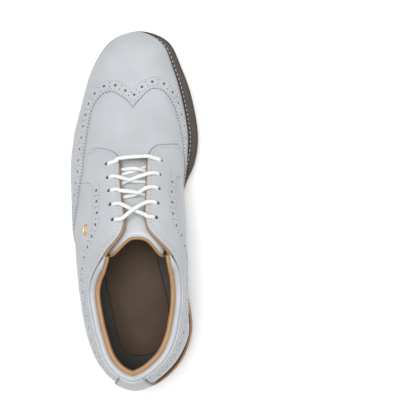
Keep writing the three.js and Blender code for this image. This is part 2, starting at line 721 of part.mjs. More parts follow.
function buildSpikes(spots) {
  for (const spot of spots) {
    add(`spike_${spot.number}`, spot.place(spikeGeometry()), "spike");
    const height = spot.heel ? 3.8 : 4.2;
    add(`spike_receptacle_${spot.number}`, spot.place(receptacleGeometry(height)), "receptacle");
  }
}

const spots = spikeSpots();
buildSole(spots);
buildSpikes(spots);
buildUpper();
buildTongue();
buildLace();

export default shoe;
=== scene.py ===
"""Golf shoe, left foot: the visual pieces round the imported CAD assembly, drawn in millimetres."""

import math

import bmesh
import bpy
import numpy as np
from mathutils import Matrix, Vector


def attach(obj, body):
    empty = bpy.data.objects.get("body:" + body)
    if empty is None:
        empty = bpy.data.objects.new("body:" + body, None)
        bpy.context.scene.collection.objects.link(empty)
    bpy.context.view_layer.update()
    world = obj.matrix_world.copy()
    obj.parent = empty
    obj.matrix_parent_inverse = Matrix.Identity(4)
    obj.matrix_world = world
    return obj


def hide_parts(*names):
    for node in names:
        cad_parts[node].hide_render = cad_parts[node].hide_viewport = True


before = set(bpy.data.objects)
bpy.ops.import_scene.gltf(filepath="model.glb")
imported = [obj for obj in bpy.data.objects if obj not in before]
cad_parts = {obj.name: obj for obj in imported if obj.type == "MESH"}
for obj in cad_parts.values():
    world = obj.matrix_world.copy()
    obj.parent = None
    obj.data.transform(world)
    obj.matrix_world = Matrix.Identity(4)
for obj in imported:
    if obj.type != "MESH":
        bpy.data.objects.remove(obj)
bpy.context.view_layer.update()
MM = 0.001

# ------------------------------------------------------------------ the last, as in the CAD source
# x, y, ledge from the outline to the upper, then the upper's bulge, rise and reach.
# The rows run from the heel by the lateral side to the toe, and back by the medial side.
RING = np.array(
    [
        [3, -150.5, 5, 7, 30, 14],
        [-16, -144.5, 5.5, 7, 30, 14],
        [-31, -125.5, 4.8, 9.5, 30, 14],
        [-39.5, -100, 4.2, 12.5, 30, 15],
        [-42.5, -70, 3.2, 16, 30, 19],
        [-43, -35, 2.8, 22, 32, 25],
        [-47, 0, 3.5, 20, 34, 28],
        [-54, 35, 4.5, 12, 30, 28],
        [-54, 62, 4.6, 6, 27, 30],
        [-47, 90, 3.9, 4, 24, 32],
        [-37.5, 120, 3.5, 3, 22, 38],
        [-20.8, 144.2, 3.3, 2, 21, 44],
        [4, 152.5, 3.1, 2, 20, 46],
        [28, 144, 7, 2, 21, 44],
        [39.5, 122, 8.8, 3, 22, 38],
        [48, 98, 10.8, 4, 24, 34],
        [53.5, 66, 11, 5, 27, 30],
        [51, 42, 9.8, 7, 30, 26],
        [43, 22, 6, 12.8, 32, 28],
        [37, 0, 2.5, 20.8, 34, 32],
        [36, -30, 2.5, 23.8, 32, 34],
        [42, -60, 3.5, 15.6, 30, 31],
        [47.5, -85, 4, 9.6, 30, 27],
        [48, -105, 4, 8, 30, 21],
        [39, -128, 6, 7, 30, 15],
        [21, -145.5, 6.5, 7, 30, 14],
    ],
    float,
)
ROUND = len(RING)
SOLE = [[-152, 19.5], [-75, 19.5], [-55, 18], [-30, 15.2], [0, 11.6], [20, 9]]
SOLE += [[40, 6.6], [60, 5.5], [80, 6.2], [100, 8.4], [125, 11.4], [152, 14.6]]
RIDGE = [[-105, 125], [-70, 121], [-40, 114], [-20, 108], [0, 100], [25, 87], [50, 73], [74, 61.5], [80, 59]]
SPINE = [[-105, 7], [-60, 7], [-20, 7.8], [0, 6.5], [40, 4], [74, 1.5], [90, 1.2]]
POLE_HEEL, POLE_TOE, POLE_SOFT = -105, 74, 16
UPPER_BASE = 12.8

# Edges of the pieces on the last: u round the shoe, v up from the feather line.
WING_EDGE = [[4.6, 0], [5.2, 0.16], [5.6, 0.28], [6.06, 0.396], [6.44, 0.438], [6.85, 0.481], [7.51, 0.494]]
WING_EDGE += [[8, 0.51], [8.54, 0.522], [9.05, 0.543], [9.5, 0.61], [9.97, 0.698], [10.43, 0.815]]
WING_EDGE += [[11, 0.885], [11.79, 0.934], [12.6, 0.89], [13.3, 0.822], [14.01, 0.672], [14.45, 0.6]]
WING_EDGE += [[14.9, 0.546], [15.47, 0.463], [15.89, 0.397], [16.43, 0.318], [17, 0.26], [17.9, 0.17]]
WING_EDGE += [[19, 0.06], [19.5, 0]]
TOP_LATERAL = [[0, 0.55], [1, 0.56], [2, 0.56], [2.8, 0.54], [3.5, 0.51], [4.15, 0.505], [4.5, 0.56]]
TOP_LATERAL += [[4.96, 0.69], [5.14, 0.739], [5.36, 0.819], [5.58, 0.878], [5.86, 0.901], [6.23, 0.884]]
TOP_LATERAL += [[6.66, 0.867], [7.13, 0.857], [7.3, 0.835], [7.44, 0.76], [7.5, 0.66]]
TOP_MEDIAL = [[16.6, 0.62], [16.68, 0.757], [16.91, 0.822], [17.22, 0.854], [17.91, 0.875], [18.56, 0.896]]
TOP_MEDIAL += [[18.98, 0.911], [19.4, 0.902], [19.64, 0.844], [19.99, 0.705], [20.2, 0.635], [20.6, 0.525]]
TOP_MEDIAL += [[21.2, 0.465], [22, 0.49], [23, 0.53], [24, 0.56], [25, 0.565], [26, 0.55]]
FACING_LATERAL = [[0, 0.42], [2, 0.42], [2.88, 0.415], [3.3, 0.4], [3.64, 0.385], [3.95, 0.385], [4.46, 0.4]]
FACING_LATERAL += [[4.73, 0.43], [4.91, 0.46], [5.13, 0.5], [5.31, 0.545], [5.6, 0.6], [5.8, 0.63]]
FACING_LATERAL += [[6.33, 0.62], [6.56, 0.6], [6.6, 0.55], [7, 0.545], [7.47, 0.575]]
FACING_MEDIAL = [[16.54, 0.441], [17, 0.4], [17.6, 0.38], [17.8, 0.4], [17.87, 0.5], [18.33, 0.555]]
FACING_MEDIAL += [[18.74, 0.58], [19.08, 0.6], [19.41, 0.57], [19.64, 0.5], [20, 0.42], [20.5, 0.33]]
FACING_MEDIAL += [[21, 0.29], [21.8, 0.28], [22.4, 0.36], [23.1, 0.41], [24, 0.42], [26, 0.42]]
EYELETS_LATERAL = [(7.02, 0.738), (6.68, 0.752), (6.39, 0.766), (6.1, 0.78), (5.78, 0.797)]
EYELETS_MEDIAL = [(17.3, 0.696), (17.84, 0.727), (18.33, 0.754), (18.81, 0.784), (19.21, 0.813)]
SPIKES = [(-27, 104), (24, 106), (-34, 60), (35, 62), (3, 82), (-24, -98), (30, -100), (3, -134)]


def catmull_rom(p0, p1, p2, p3, t):
    return p1 + 0.5 * t * (p2 - p0 + t * (2 * p0 - 5 * p1 + 4 * p2 - p3 + t * (3 * p1 - p0 - 3 * p2 + p3)))


def ring_rows(u):
    u = np.asarray(u, float)
    i = np.floor(u).astype(int)
    return catmull_rom(*(RING[(i + k) % ROUND] for k in (-1, 0, 1, 2)), (u - i)[..., None])


def curve(rows, x):
    """A smooth value from rows of (x, value)."""
    xs, ys = np.array(rows, float).T
    x = np.clip(np.asarray(x, float), xs[0], xs[-1])
    slope = np.empty(len(xs))
    slope[1:-1] = (ys[2:] - ys[:-2]) / (xs[2:] - xs[:-2])
    slope[0] = (ys[1] - ys[0]) / (xs[1] - xs[0])
    slope[-1] = (ys[-1] - ys[-2]) / (xs[-1] - xs[-2])
    i = np.clip(np.searchsorted(xs, x, side="right") - 1, 0, len(xs) - 2)
    h = xs[i + 1] - xs[i]
    t = (x - xs[i]) / h
    s = t * t * (3 - 2 * t)
    return ys[i] * (1 - s) + ys[i + 1] * s + h * t * (1 - t) * (slope[i] * (1 - t) - slope[i + 1] * t)


def broken(rows, x):
    xs, ys = np.array(rows, float).T
    return np.interp(x, xs, ys)


def outline(u, inset):
    u = np.asarray(u, float)
    p, a, b = ring_rows(u), ring_rows(u - 0.01), ring_rows(u + 0.01)
    d = (b - a)[..., :2]
    d = d / np.linalg.norm(d, axis=-1, keepdims=True)
    return p[..., 0] + d[..., 1] * inset, p[..., 1] - d[..., 0] * inset


def held(y):
    def ramp(d):
        soft = (d + POLE_SOFT) ** 2 / (4 * POLE_SOFT)
        return np.where(d > POLE_SOFT, d, np.where(d < -POLE_SOFT, 0, soft))

    return POLE_TOE - ramp(POLE_TOE - POLE_HEEL - ramp(np.asarray(y, float) - POLE_HEEL))


def section(u):
    rows = ring_rows(u)
    fx, fy = outline(u, rows[..., 2])
    fz = curve(SOLE, fy) + UPPER_BASE
    qy = held(fy)
    qx, qz = curve(SPINE, qy), curve(RIDGE, qy)
    far = np.hypot(fx - qx, fy - qy)
    dx, dy = (fx - qx) / far, (fy - qy) / far
    slope = curve(RIDGE, np.minimum(qy + 0.5, 80)) - curve(RIDGE, qy - 0.5)
    bulge, rise, reach = rows[..., 3], rows[..., 4], rows[..., 5]
    points = [
        (fx, fy, fz),
        (fx + dx * bulge, fy + dy * bulge, fz + rise),
        (qx + dx * reach, qy + dy * reach, qz + slope * dy * reach),
        (qx, qy, qz),
    ]
    return [np.stack(p, axis=-1) for p in points]


def bare(u, v):
    u, v = np.broadcast_arrays(np.asarray(u, float), np.asarray(v, float))
    a, b, c, d = section(u)
    v = v[..., None]
    w = 1 - v
    return a * w**3 + 3 * b * v * w * w + 3 * c * v * v * w + d * v**3


def unit(a):
    return a / np.maximum(np.linalg.norm(a, axis=-1, keepdims=True), 1e-12)


def normal(u, v):
    u, v = np.broadcast_arrays(np.asarray(u, float), np.asarray(v, float))
    low = np.clip(v - 0.004, 0, 0.975)
    across = bare(u + 0.02, np.minimum(v, 0.97)) - bare(u - 0.02, np.minimum(v, 0.97))
    up = bare(u, np.minimum(low + 0.008, 0.985)) - bare(u, low)
    return unit(np.cross(up, across))


def surface(u, v, offset):
    return bare(u, v) + normal(u, v) * np.asarray(offset, float)[..., None]


def wrap(u):
    return np.mod(np.asarray(u, float), ROUND)


def topline(u):
    w = wrap(u)
    return np.where(w < 12, curve(TOP_LATERAL, w), curve(TOP_MEDIAL, w))


def facing_edge(u):
    w = wrap(u)
    return np.where(w < 12, broken(FACING_LATERAL, w), broken(FACING_MEDIAL, w))


def wing_edge(u):
    return curve(WING_EDGE, u)


def halve(position, y, start, end):
    """The u between start and end at which position(u) is y."""
    a, b = np.full(len(y), float(start)), np.full(len(y), float(end))
    for _ in range(40):
        m = (a + b) / 2
        low = position(m) < y
        a, b = np.where(low, m, a), np.where(low, b, m)
    return (a + b) / 2


def side_u(y, start, end):
    """The u on one side whose section stands at ridge position y."""
    return halve(lambda u: held(outline(u, ring_rows(u)[..., 2])[1]), y, start, end)


def march(u, v, way, distance, steps=6):
    """Moves points of the surface a distance along a direction, staying on it."""
    u, v = np.array(u, float), np.array(v, float)
    for _ in range(steps):
        su = (bare(u + 0.01, v) - bare(u - 0.01, v)) / 0.02
        sv = (bare(u, v + 0.004) - bare(u, v - 0.004)) / 0.008
        w = way * distance / steps
        uu, uv, vv = (su * su).sum(-1), (su * sv).sum(-1), (sv * sv).sum(-1)
        a, b = (su * w).sum(-1), (sv * w).sum(-1)
        det = uu * vv - uv * uv
        u, v = u + (a * vv - b * uv) / det, v + (b * uu - a * uv) / det
    return u, v


def travelled(points):
    """How far each point lies along the line through them all."""
    return np.concatenate([[0], np.cumsum(np.linalg.norm(np.diff(points, axis=0), axis=1))])


def along(s, known, rows):
    """Rows of (x, y, z), known at some distances along a line, at the distances s."""
    return np.stack([np.interp(s, known, rows[:, k]) for k in range(3)], axis=1)


class Path:
    """A line on the surface, evenly stepped: u, v, point, tangent, normal and side (n x t)."""

    def __init__(self, u, v, step=0.5):
        u, v = np.asarray(u, float), np.asarray(v, float)
        s = travelled(bare(u, v))
        self.length = s[-1]
        self.s = np.linspace(0, s[-1], max(3, int(s[-1] / step) + 1))
        self.u, self.v = np.interp(self.s, s, u), np.interp(self.s, s, v)
        self.p, self.n = bare(self.u, self.v), normal(self.u, self.v)
        t = np.gradient(self.p, axis=0)
        self.t = unit(t - self.n * (t * self.n).sum(-1, keepdims=True))
        self.b = np.cross(self.n, self.t)

    def inset(self, distance):
        """The line a distance to its side; parts that come too near the first line again are dropped."""
        u, v = march(self.u, self.v, self.b, distance)
        p = bare(u, v)
        base = bare(self.u, self.v)
        near = np.array([np.sqrt(((base - q) ** 2).sum(1).min()) for q in p])
        good = near >= abs(distance) * 0.96
        return Path(u[good], v[good])

    def at(self, s):
        """Frames at distances s along the line."""
        return along(s, self.s, self.p), unit(along(s, self.s, self.t)), unit(along(s, self.s, self.n))


# ------------------------------------------------------------------ mesh helpers
class Soup:
    """Many small closed shapes gathered into one mesh."""

    def __init__(self):
        self.verts, self.faces, self.count = [], [], 0

    def add(self, verts, faces):
        self.verts.append(np.asarray(verts, float))
        self.faces += [[i + self.count for i in f] for f in faces]
        self.count += len(verts)

    def placed(self, template, faces, p, t, n):
        """The template, in (along, side, out) coordinates, at each frame."""
        b = np.cross(n, t)
        for i in range(len(p)):
            self.add(p[i] + template[:, :1] * t[i] + template[:, 1:2] * b[i] + template[:, 2:3] * n[i], faces)


def prism(shape, low, high):
    """A closed prism from a counter-clockwise outline in (along, side)."""
    n = len(shape)
    verts = [(x, y, low) for x, y in shape] + [(x, y, high) for x, y in shape]
    faces = [list(range(n))[::-1], list(range(n, 2 * n))]
    faces += [[i, (i + 1) % n, n + (i + 1) % n, n + i] for i in range(n)]
    return np.array(verts, float), faces


def ring_faces(rings, sides):
    """Faces between closed rings of points, each ring to the next."""
    faces = []
    for i in range(rings - 1):
        for k in range(sides):
            a, b = i * sides + k, i * sides + (k + 1) % sides
            faces.append([a, a + sides, b + sides, b])
    return faces


def disc(radius, sides):
    turns = [2 * math.pi * k / sides for k in range(sides)]
    return [(radius * math.cos(a), radius * math.sin(a)) for a in turns]


def capsule(length, radius, sides=6, sink=0.25):
    """A stitch: a short thread that rises out of the leather and goes back in."""
    verts = []
    rear = [(-0.5, 0.25, -sink), (-0.42, 0.8, 0.0), (-0.2, 1, 0.1)]
    stations = rear + [(-x, r, z) for x, r, z in rear[::-1]]
    for x, r, z in stations:
        for k in range(sides):
            a = 2 * math.pi * k / sides
            verts.append((x * length, math.cos(a) * radius * r, z + math.sin(a) * radius * r))
    faces = ring_faces(len(stations), sides)
    last = (len(stations) - 1) * sides
    faces += [list(range(sides))[::-1], [last + k for k in range(sides)]]
    return np.array(verts, float), faces


def face_outwards(mesh, merge=0.0):
    """Turns a closed mesh's faces outwards, after joining points nearer than merge."""
    bm = bmesh.new()
    bm.from_mesh(mesh)
    if merge:
        bmesh.ops.remove_doubles(bm, verts=bm.verts, dist=merge * MM)
        bmesh.ops.dissolve_degenerate(bm, edges=bm.edges, dist=1e-8)
    bmesh.ops.recalc_face_normals(bm, faces=bm.faces)
    bm.to_mesh(mesh)
    bm.free()


def linked(name, data):
    obj = bpy.data.objects.new(name, data)
    bpy.context.scene.collection.objects.link(obj)
    return obj


def soup_mesh(name, soup):
    mesh = bpy.data.meshes.new(name)
    mesh.from_pydata((np.concatenate(soup.verts) * MM).tolist(), [], soup.faces)
    face_outwards(mesh)
    return mesh


def build(name, verts, faces, material, body="shoe", replaces=(), sharp=35, merge=0.0):
    mesh = bpy.data.meshes.new(name)
    mesh.from_pydata((np.asarray(verts, float) * MM).tolist(), [], [list(f) for f in faces])
    mesh.validate()
    if merge:
        face_outwards(mesh, merge)
    obj = linked(name, mesh)
    finish_piece(obj, material, body, replaces, sharp)
    return obj


def finish_piece(obj, material, body, replaces, sharp=35):
    obj.data.shade_smooth()
    if sharp:
        obj.data.set_sharp_from_angle(angle=math.radians(sharp))
    obj.data.materials.clear()
    obj.data.materials.append(material)
    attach(obj, body)
    if replaces:
        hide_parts(*replaces)


def subtract(obj, soup):
    """Cuts a soup of prisms out of an object."""
    cutter = linked("cutter", soup_mesh("cutter", soup))
    modifier = obj.modifiers.new("cut", "BOOLEAN")
    modifier.operation = "DIFFERENCE"
    modifier.solver = "MANIFOLD"
    modifier.object = cutter
    bpy.context.view_layer.update()
    cut = bpy.data.meshes.new_from_object(obj.evaluated_get(bpy.context.evaluated_depsgraph_get()))
    obj.modifiers.clear()
    old = obj.data
    obj.data = cut
    bpy.data.meshes.remove(old)
    bpy.data.objects.remove(cutter)


def columns(start, end, step):
    """u values evenly stepped in millimetres, with a few close to each end."""
    coarse = np.linspace(start, end, 400)
    s = travelled(bare(coarse, np.full(400, 0.35)))
    n = max(6, int(s[-1] / step))
    inner = np.linspace(0.9, s[-1] - 0.9, n)
    at = np.concatenate([[0, 0.12, 0.35, 0.6], inner, s[-1] - np.array([0.6, 0.35, 0.12, 0])])
    return np.interp(at, s, coarse)


def shell(base, n, high, low):
    """A closed shell over a grid of points: its upper face at high along n, its lower face at low."""
    top, bottom = base + n * np.asarray(high)[..., None], base + n * np.asarray(low)[..., None]
    nu, nv = base.shape[:2]
    return np.concatenate([top.reshape(-1, 3), bottom.reshape(-1, 3)]), shell_faces(nu, nv)


def shell_faces(nu, nv):
    count = nu * nv
    idx = lambda i, j: i * nv + j
    faces = []
    for i in range(nu - 1):
        for j in range(nv - 1):
            a, b, c, d = idx(i, j), idx(i, j + 1), idx(i + 1, j + 1), idx(i + 1, j)
            faces += [[a, b, c, d], [a + count, d + count, c + count, b + count]]
    for j in range(nv - 1):
        a, b = idx(0, j), idx(0, j + 1)
        faces.append([b, a, a + count, b + count])
        d, c = idx(nu - 1, j), idx(nu - 1, j + 1)
        faces.append([d, c, c + count, d + count])
    for i in range(nu - 1):
        a, d = idx(i, 0), idx(i + 1, 0)
        faces.append([a, d, d + count, a + count])
        b, c = idx(i, nv - 1), idx(i + 1, nv - 1)
        faces.append([c, b, b + count, c + count])
    return faces


def panel(us, low, high, inner, outer, step=1.8, edge=0.5, shift=None):
    """A closed leather shell between two edges on the surface, with rounded edges."""
    us = np.asarray(us, float)
    lo, hi = low(us), np.maximum(high(us), low(us) + 0.004)
    coarse = lo[:, None] + (hi - lo)[:, None] * np.linspace(0, 1, 9)
    p = bare(us[:, None], coarse)
    length = np.linalg.norm(np.diff(p, axis=1), axis=2).sum(1)
    m = max(6, int(length.max() / step))
    small = np.minimum(0.85, length / 5)
    ends = np.array([0, 0.15, 0.4, 0.7])[None, :] * small[:, None]
    middle = small[:, None] + (length - 2 * small)[:, None] * np.linspace(0, 1, m)[None, :]
    d = np.concatenate([ends, middle, length[:, None] - ends[:, ::-1]], axis=1)
    v = lo[:, None] + (hi - lo)[:, None] * d / length[:, None]
    s = travelled(bare(us, (lo + hi) / 2))
    from_edge = np.minimum(np.minimum(d, length[:, None] - d), np.minimum(s, s[-1] - s)[:, None])
    round_off = edge - np.sqrt(np.maximum(0, edge**2 - (edge - np.minimum(from_edge, edge)) ** 2))
    uu = np.broadcast_to(us[:, None], v.shape)
    extra = np.zeros(v.shape) if shift is None else shift(uu, v, d, length[:, None] - d)
    return shell(bare(uu, v), normal(uu, v), outer - round_off + extra, inner + extra)


def sweep(points, side, out, radii, sides=12, shape=None):
    """A tube through points, with its section in the (side, out) plane."""
    points = np.asarray(points, float)
    count = len(points)
    angle = 2 * np.pi * (np.arange(sides) + 0.5) / sides
    ca, sa = np.cos(angle), np.sin(angle)
    if shape is not None:
        ca, sa = np.sign(ca) * np.abs(ca) ** shape, np.sign(sa) * np.abs(sa) ** shape
    radii = np.broadcast_to(np.asarray(radii, float), (count, 2))
    sideways = side[:, None, :] * (ca[None, :, None] * radii[:, :1, None])
    outwards = out[:, None, :] * (sa[None, :, None] * radii[:, 1:, None])
    ring = points[:, None, :] + sideways + outwards
    faces = []
    for i in range(count - 1):
        for k in range(sides):
            a, b = i * sides + k, i * sides + (k + 1) % sides
            faces.append([a, b, b + sides, a + sides])
    faces += [list(range(sides))[::-1], [(count - 1) * sides + k for k in range(sides)]]
    return ring.reshape(-1, 3), faces


def smooth_line(points, per=8):
    """A Catmull-Rom line through points."""
    p = np.asarray(points, float)
    ext = np.concatenate([[2 * p[0] - p[1]], p, [2 * p[-1] - p[-2]]])
    out = []
    for i in range(1, len(ext) - 2):
        t = np.linspace(0, 1, per, endpoint=False)[:, None]
        out.append(catmull_rom(*ext[i - 1 : i + 3], t))
    return np.concatenate(out + [p[-1:]])


# ------------------------------------------------------------------ materials
def nodes_of(name):
    material = bpy.data.materials.new(name)
    material.use_nodes = True
    tree = material.node_tree
    return material, tree, tree.nodes["Principled BSDF"]


def link(tree, a, b):
    tree.links.new(a, b)


def noise(tree, coords, scale, detail=4.0, rough=0.5):
    node = tree.nodes.new("ShaderNodeTexNoise")
    node.inputs["Scale"].default_value = scale
    node.inputs["Detail"].default_value = detail
    node.inputs["Roughness"].default_value = rough
    link(tree, coords, node.inputs["Vector"])
    return node.outputs["Fac"]


def cells(tree, coords, scale, feature="F1"):
    node = tree.nodes.new("ShaderNodeTexVoronoi")
    node.feature = feature
    node.inputs["Scale"].default_value = scale
    link(tree, coords, node.inputs["Vector"])
    return node.outputs["Distance"]


def ramp(tree, value, stops):
    node = tree.nodes.new("ShaderNodeValToRGB")
    while len(node.color_ramp.elements) < len(stops):
        node.color_ramp.elements.new(0.5)
    for element, (at, color) in zip(node.color_ramp.elements, stops):
        element.position = at
        element.color = (*color, 1)
    link(tree, value, node.inputs["Fac"])
    return node.outputs["Color"]


def spread(tree, value, low, high):
    node = tree.nodes.new("ShaderNodeMapRange")
    node.inputs["To Min"].default_value = low
    node.inputs["To Max"].default_value = high
    link(tree, value, node.inputs["Value"])
    return node.outputs["Result"]


def bumps(tree, shader, layers):
    """Bump layers of (height, strength, distance in millimetres)."""
    last = None
    for height, strength, distance in layers:
        node = tree.nodes.new("ShaderNodeBump")
        node.inputs["Strength"].default_value = strength
        node.inputs["Distance"].default_value = distance * MM
        link(tree, height, node.inputs["Height"])
        if last is not None:
            link(tree, last, node.inputs["Normal"])
        last = node.outputs["Normal"]
    link(tree, last, shader.inputs["Normal"])


def coordinates(tree):
    return tree.nodes.new("ShaderNodeTexCoord").outputs["Object"]


def calculated(tree, operation, *terms):
    """A node that works out one number from sockets and plain values."""
    node = tree.nodes.new("ShaderNodeMath")
    node.operation = operation
    for socket, term in zip(node.inputs, terms):
        if isinstance(term, (int, float)):
            socket.default_value = term
        else:
            link(tree, term, socket)
    return node.outputs[0]


def mottled(tree, shader, pattern, color, amount):
    """A base colour that varies between two shades, following a pattern."""
    dark, light = shades(color, amount)
    link(tree, ramp(tree, pattern, [(0.3, dark), (0.7, light)]), shader.inputs["Base Color"])


def rough_between(tree, shader, pattern, low, high):
    link(tree, spread(tree, pattern, low, high), shader.inputs["Roughness"])


def shades(color, amount):
    return tuple(c * (1 - amount) for c in color), tuple(min(1.0, c * (1 + amount)) for c in color)


def leather(name, color, rough, grain=1.0, vary=0.05):
    material, tree, shader = nodes_of(name)
    coords = coordinates(tree)
    mottled(tree, shader, noise(tree, coords, 45, 3), color, vary)
    rough_between(tree, shader, noise(tree, coords, 260, 3), rough - 0.06, rough + 0.08)
    pebble = cells(tree, coords, 950, "SMOOTH_F1")
    fine = noise(tree, coords, 2300, 3)
    crease = noise(tree, coords, 150, 6, 0.62)
    layers = [(crease, 0.35 * grain, 0.5), (pebble, 0.35 * grain, 0.16), (fine, 0.3 * grain, 0.06)]
    bumps(tree, shader, layers)
    return material


def woven(name, color):
    """Braided yarn: two crossing waves, along and round the cord."""
    material, tree, shader = nodes_of(name)
    attribute = tree.nodes.new("ShaderNodeAttribute")
    attribute.attribute_name = "braid"
    split = tree.nodes.new("ShaderNodeSeparateXYZ")
    link(tree, attribute.outputs["Vector"], split.inputs["Vector"])
    wave = []
    for sign in (1, -1):
        crossing = calculated(tree, "MULTIPLY_ADD", split.outputs["Y"], sign, split.outputs["X"])
        wave.append(calculated(tree, "SINE", crossing))
    strands = calculated(tree, "MAXIMUM", *wave)
    dark, light = shades(color, 0.07)
    yarn = ramp(tree, spread(tree, strands, 0.2, 1), [(0.2, dark), (0.9, light)])
    link(tree, yarn, shader.inputs["Base Color"])
    shader.inputs["Roughness"].default_value = 0.85
    shader.inputs["Sheen Weight"].default_value = 0.25
    fuzz = noise(tree, coordinates(tree), 3000, 2)
    bumps(tree, shader, [(strands, 0.6, 0.25), (fuzz, 0.4, 0.08)])
    return material


def layered(name, color, line, rough, pitch=3.3):
    """Burnished stacked leather: thin dark lines between lifts and a fibrous edge."""
    material, tree, shader = nodes_of(name)
    coords = coordinates(tree)
    split = tree.nodes.new("ShaderNodeSeparateXYZ")
    link(tree, coords, split.inputs["Vector"])
    turns = calculated(tree, "MULTIPLY", split.outputs["Z"], 2 * math.pi / (pitch * MM))
    wave = calculated(tree, "SINE", turns)
    lines = ramp(tree, spread(tree, wave, 0, 1), [(0.9, (0, 0, 0)), (0.985, (1, 1, 1))])
    stretch = tree.nodes.new("ShaderNodeMapping")
    stretch.inputs["Scale"].default_value = (1, 1, 9)
    link(tree, coords, stretch.inputs["Vector"])
    fibre = noise(tree, stretch.outputs["Vector"], 180, 6, 0.6)
    dark, light = shades(color, 0.16)
    body = ramp(tree, fibre, [(0.25, dark), (0.75, light)])
    mix = tree.nodes.new("ShaderNodeMix")
    mix.data_type = "RGBA"
    link(tree, lines, mix.inputs[0])
    link(tree, body, mix.inputs[6])
    mix.inputs[7].default_value = (*line, 1)
    link(tree, mix.outputs[2], shader.inputs["Base Color"])
    rough_between(tree, shader, fibre, rough - 0.08, rough + 0.12)
    bumps(tree, shader, [(fibre, 0.5, 0.25), (wave, 0.15, 0.2)])
    return material


def moulded(name, color, rough, metallic=0.0, grain=0.3, scale=900):
    material, tree, shader = nodes_of(name)
    coords = coordinates(tree)
    mottled(tree, shader, noise(tree, coords, 90, 4), color, 0.06)
    rough_between(tree, shader, noise(tree, coords, 320, 4), rough - 0.07, rough + 0.1)
    shader.inputs["Metallic"].default_value = metallic
    bumps(tree, shader, [(noise(tree, coords, scale, 5, 0.6), grain, 0.12)])
    return material


def foamy(name, color):
    material, tree, shader = nodes_of(name)
    coords = coordinates(tree)
    pores = cells(tree, coords, 1500)
    mottled(tree, shader, noise(tree, coords, 900, 3), color, 0.22)
    shader.inputs["Roughness"].default_value = 0.95
    bumps(tree, shader, [(pores, 0.7, 0.3), (noise(tree, coords, 120, 3), 0.3, 0.6)])
    return material


WHITE = leather("leather_white", (0.44, 0.456, 0.475), 0.42)
BINDING = leather("binding_white", (0.42, 0.434, 0.452), 0.45, grain=0.8, vary=0.03)
TAN = leather("leather_tan", (0.36, 0.205, 0.10), 0.5, grain=0.7, vary=0.1)
WELT = layered("welt_brown", (0.030, 0.018, 0.011), (0.03, 0.018, 0.012), 0.55, pitch=30)
MIDSOLE = layered("midsole_brown", (0.15, 0.08, 0.045), (0.03, 0.018, 0.012), 0.5, pitch=4.6)
HEEL = layered("heel_stack", (0.42, 0.21, 0.085), (0.09, 0.045, 0.02), 0.42)
OUTSOLE = moulded("outsole_tpu", (0.60, 0.56, 0.49), 0.5, grain=0.5)
LIFT = moulded("top_lift", (0.035, 0.033, 0.032), 0.7, grain=0.6)
SPIKE = moulded("spike_plastic", (0.11, 0.12, 0.135), 0.38, grain=0.25)
CUP = moulded("receptacle_plastic", (0.04, 0.04, 0.045), 0.45)
FOAM = foamy("footbed_foam", (0.058, 0.056, 0.050))
COVER = leather("footbed_cover", (0.057, 0.033, 0.016), 0.75, grain=0.5, vary=0.12)
LACE = woven("lace_white", (0.80, 0.81, 0.79))
THREAD = moulded("thread_white", (0.50, 0.515, 0.535), 0.8, grain=0.6, scale=4000)
GOLD = moulded("emblem_gold", (0.66, 0.45, 0.23), 0.36, metallic=1.0, grain=0.1)
# painted shade: a dark colour for thin lines that stand in for the shadow along overlay edges and in the
# grooves under seams
PAINTED_LINE_SHADE = moulded("painted_line_shade", (0.17, 0.175, 0.19), 0.8)
SHADE = moulded("perforation_shade", (0.10, 0.10, 0.11), 0.9)
STEEL = moulded("shank_steel", (0.5, 0.51, 0.53), 0.35, metallic=1.0)
CORK = foamy("cork", (0.42, 0.26, 0.13))
BOARD = foamy("insole_board", (0.5, 0.4, 0.27))
STIFF = foamy("stiffener", (0.68, 0.62, 0.5))
SOFT = foamy("collar_foam", (0.75, 0.70, 0.52))
CLEAR = moulded("aglet_plastic", (0.75, 0.74, 0.7), 0.2)


# ------------------------------------------------------------------ camera, floor and light
def put_camera():
    data = bpy.data.cameras.new("camera")
    data.sensor_width = 36
    data.lens = 68.6
    data.clip_start = 0.01
    eye = linked("camera", data)
    eye.location = (0.062, 0.002, 0.700)
    bpy.context.scene.camera = eye


def put_light(name, location, size, energy):
    data = bpy.data.lights.new(name, "AREA")
    data.size = size
    data.energy = energy
    lamp = linked(name, data)
    lamp.location = location
    lamp.rotation_euler = (Vector(location) - Vector((0, 0, 0.05))).to_track_quat("Z", "Y").to_euler()


def put_stage():
    scene = bpy.context.scene
    scene.view_settings.view_transform = "Standard"
    world = bpy.data.worlds.new("studio")
    world.use_nodes = True
    sky = world.node_tree.nodes["Background"].inputs
    sky["Color"].default_value = (0.97, 0.985, 1, 1)
    sky["Strength"].default_value = 0.32
    scene.world = world
    put_light("key", (-0.08, 0.15, 1.35), 0.8, 18.5)
    put_light("fill", (0.5, -0.3, 1.2), 0.9, 3.5)
    material, tree, shader = nodes_of("floor")
    patches = [(0.3, (0.955, 0.957, 0.96)), (0.7, (0.97, 0.972, 0.975))]
    link(tree, ramp(tree, noise(tree, coordinates(tree), 6), patches), shader.inputs["Base Color"])
    shader.inputs["Roughness"].default_value = 0.8
    mesh = bpy.data.meshes.new("floor")
    corners = [(-4, -4, 0), (4, -4, 0), (4, 4, 0), (-4, 4, 0)]
    mesh.from_pydata(corners, [], [[0, 1, 2, 3]])
    mesh.materials.append(material)
    floor = linked("floor", mesh)


put_camera()
put_stage()

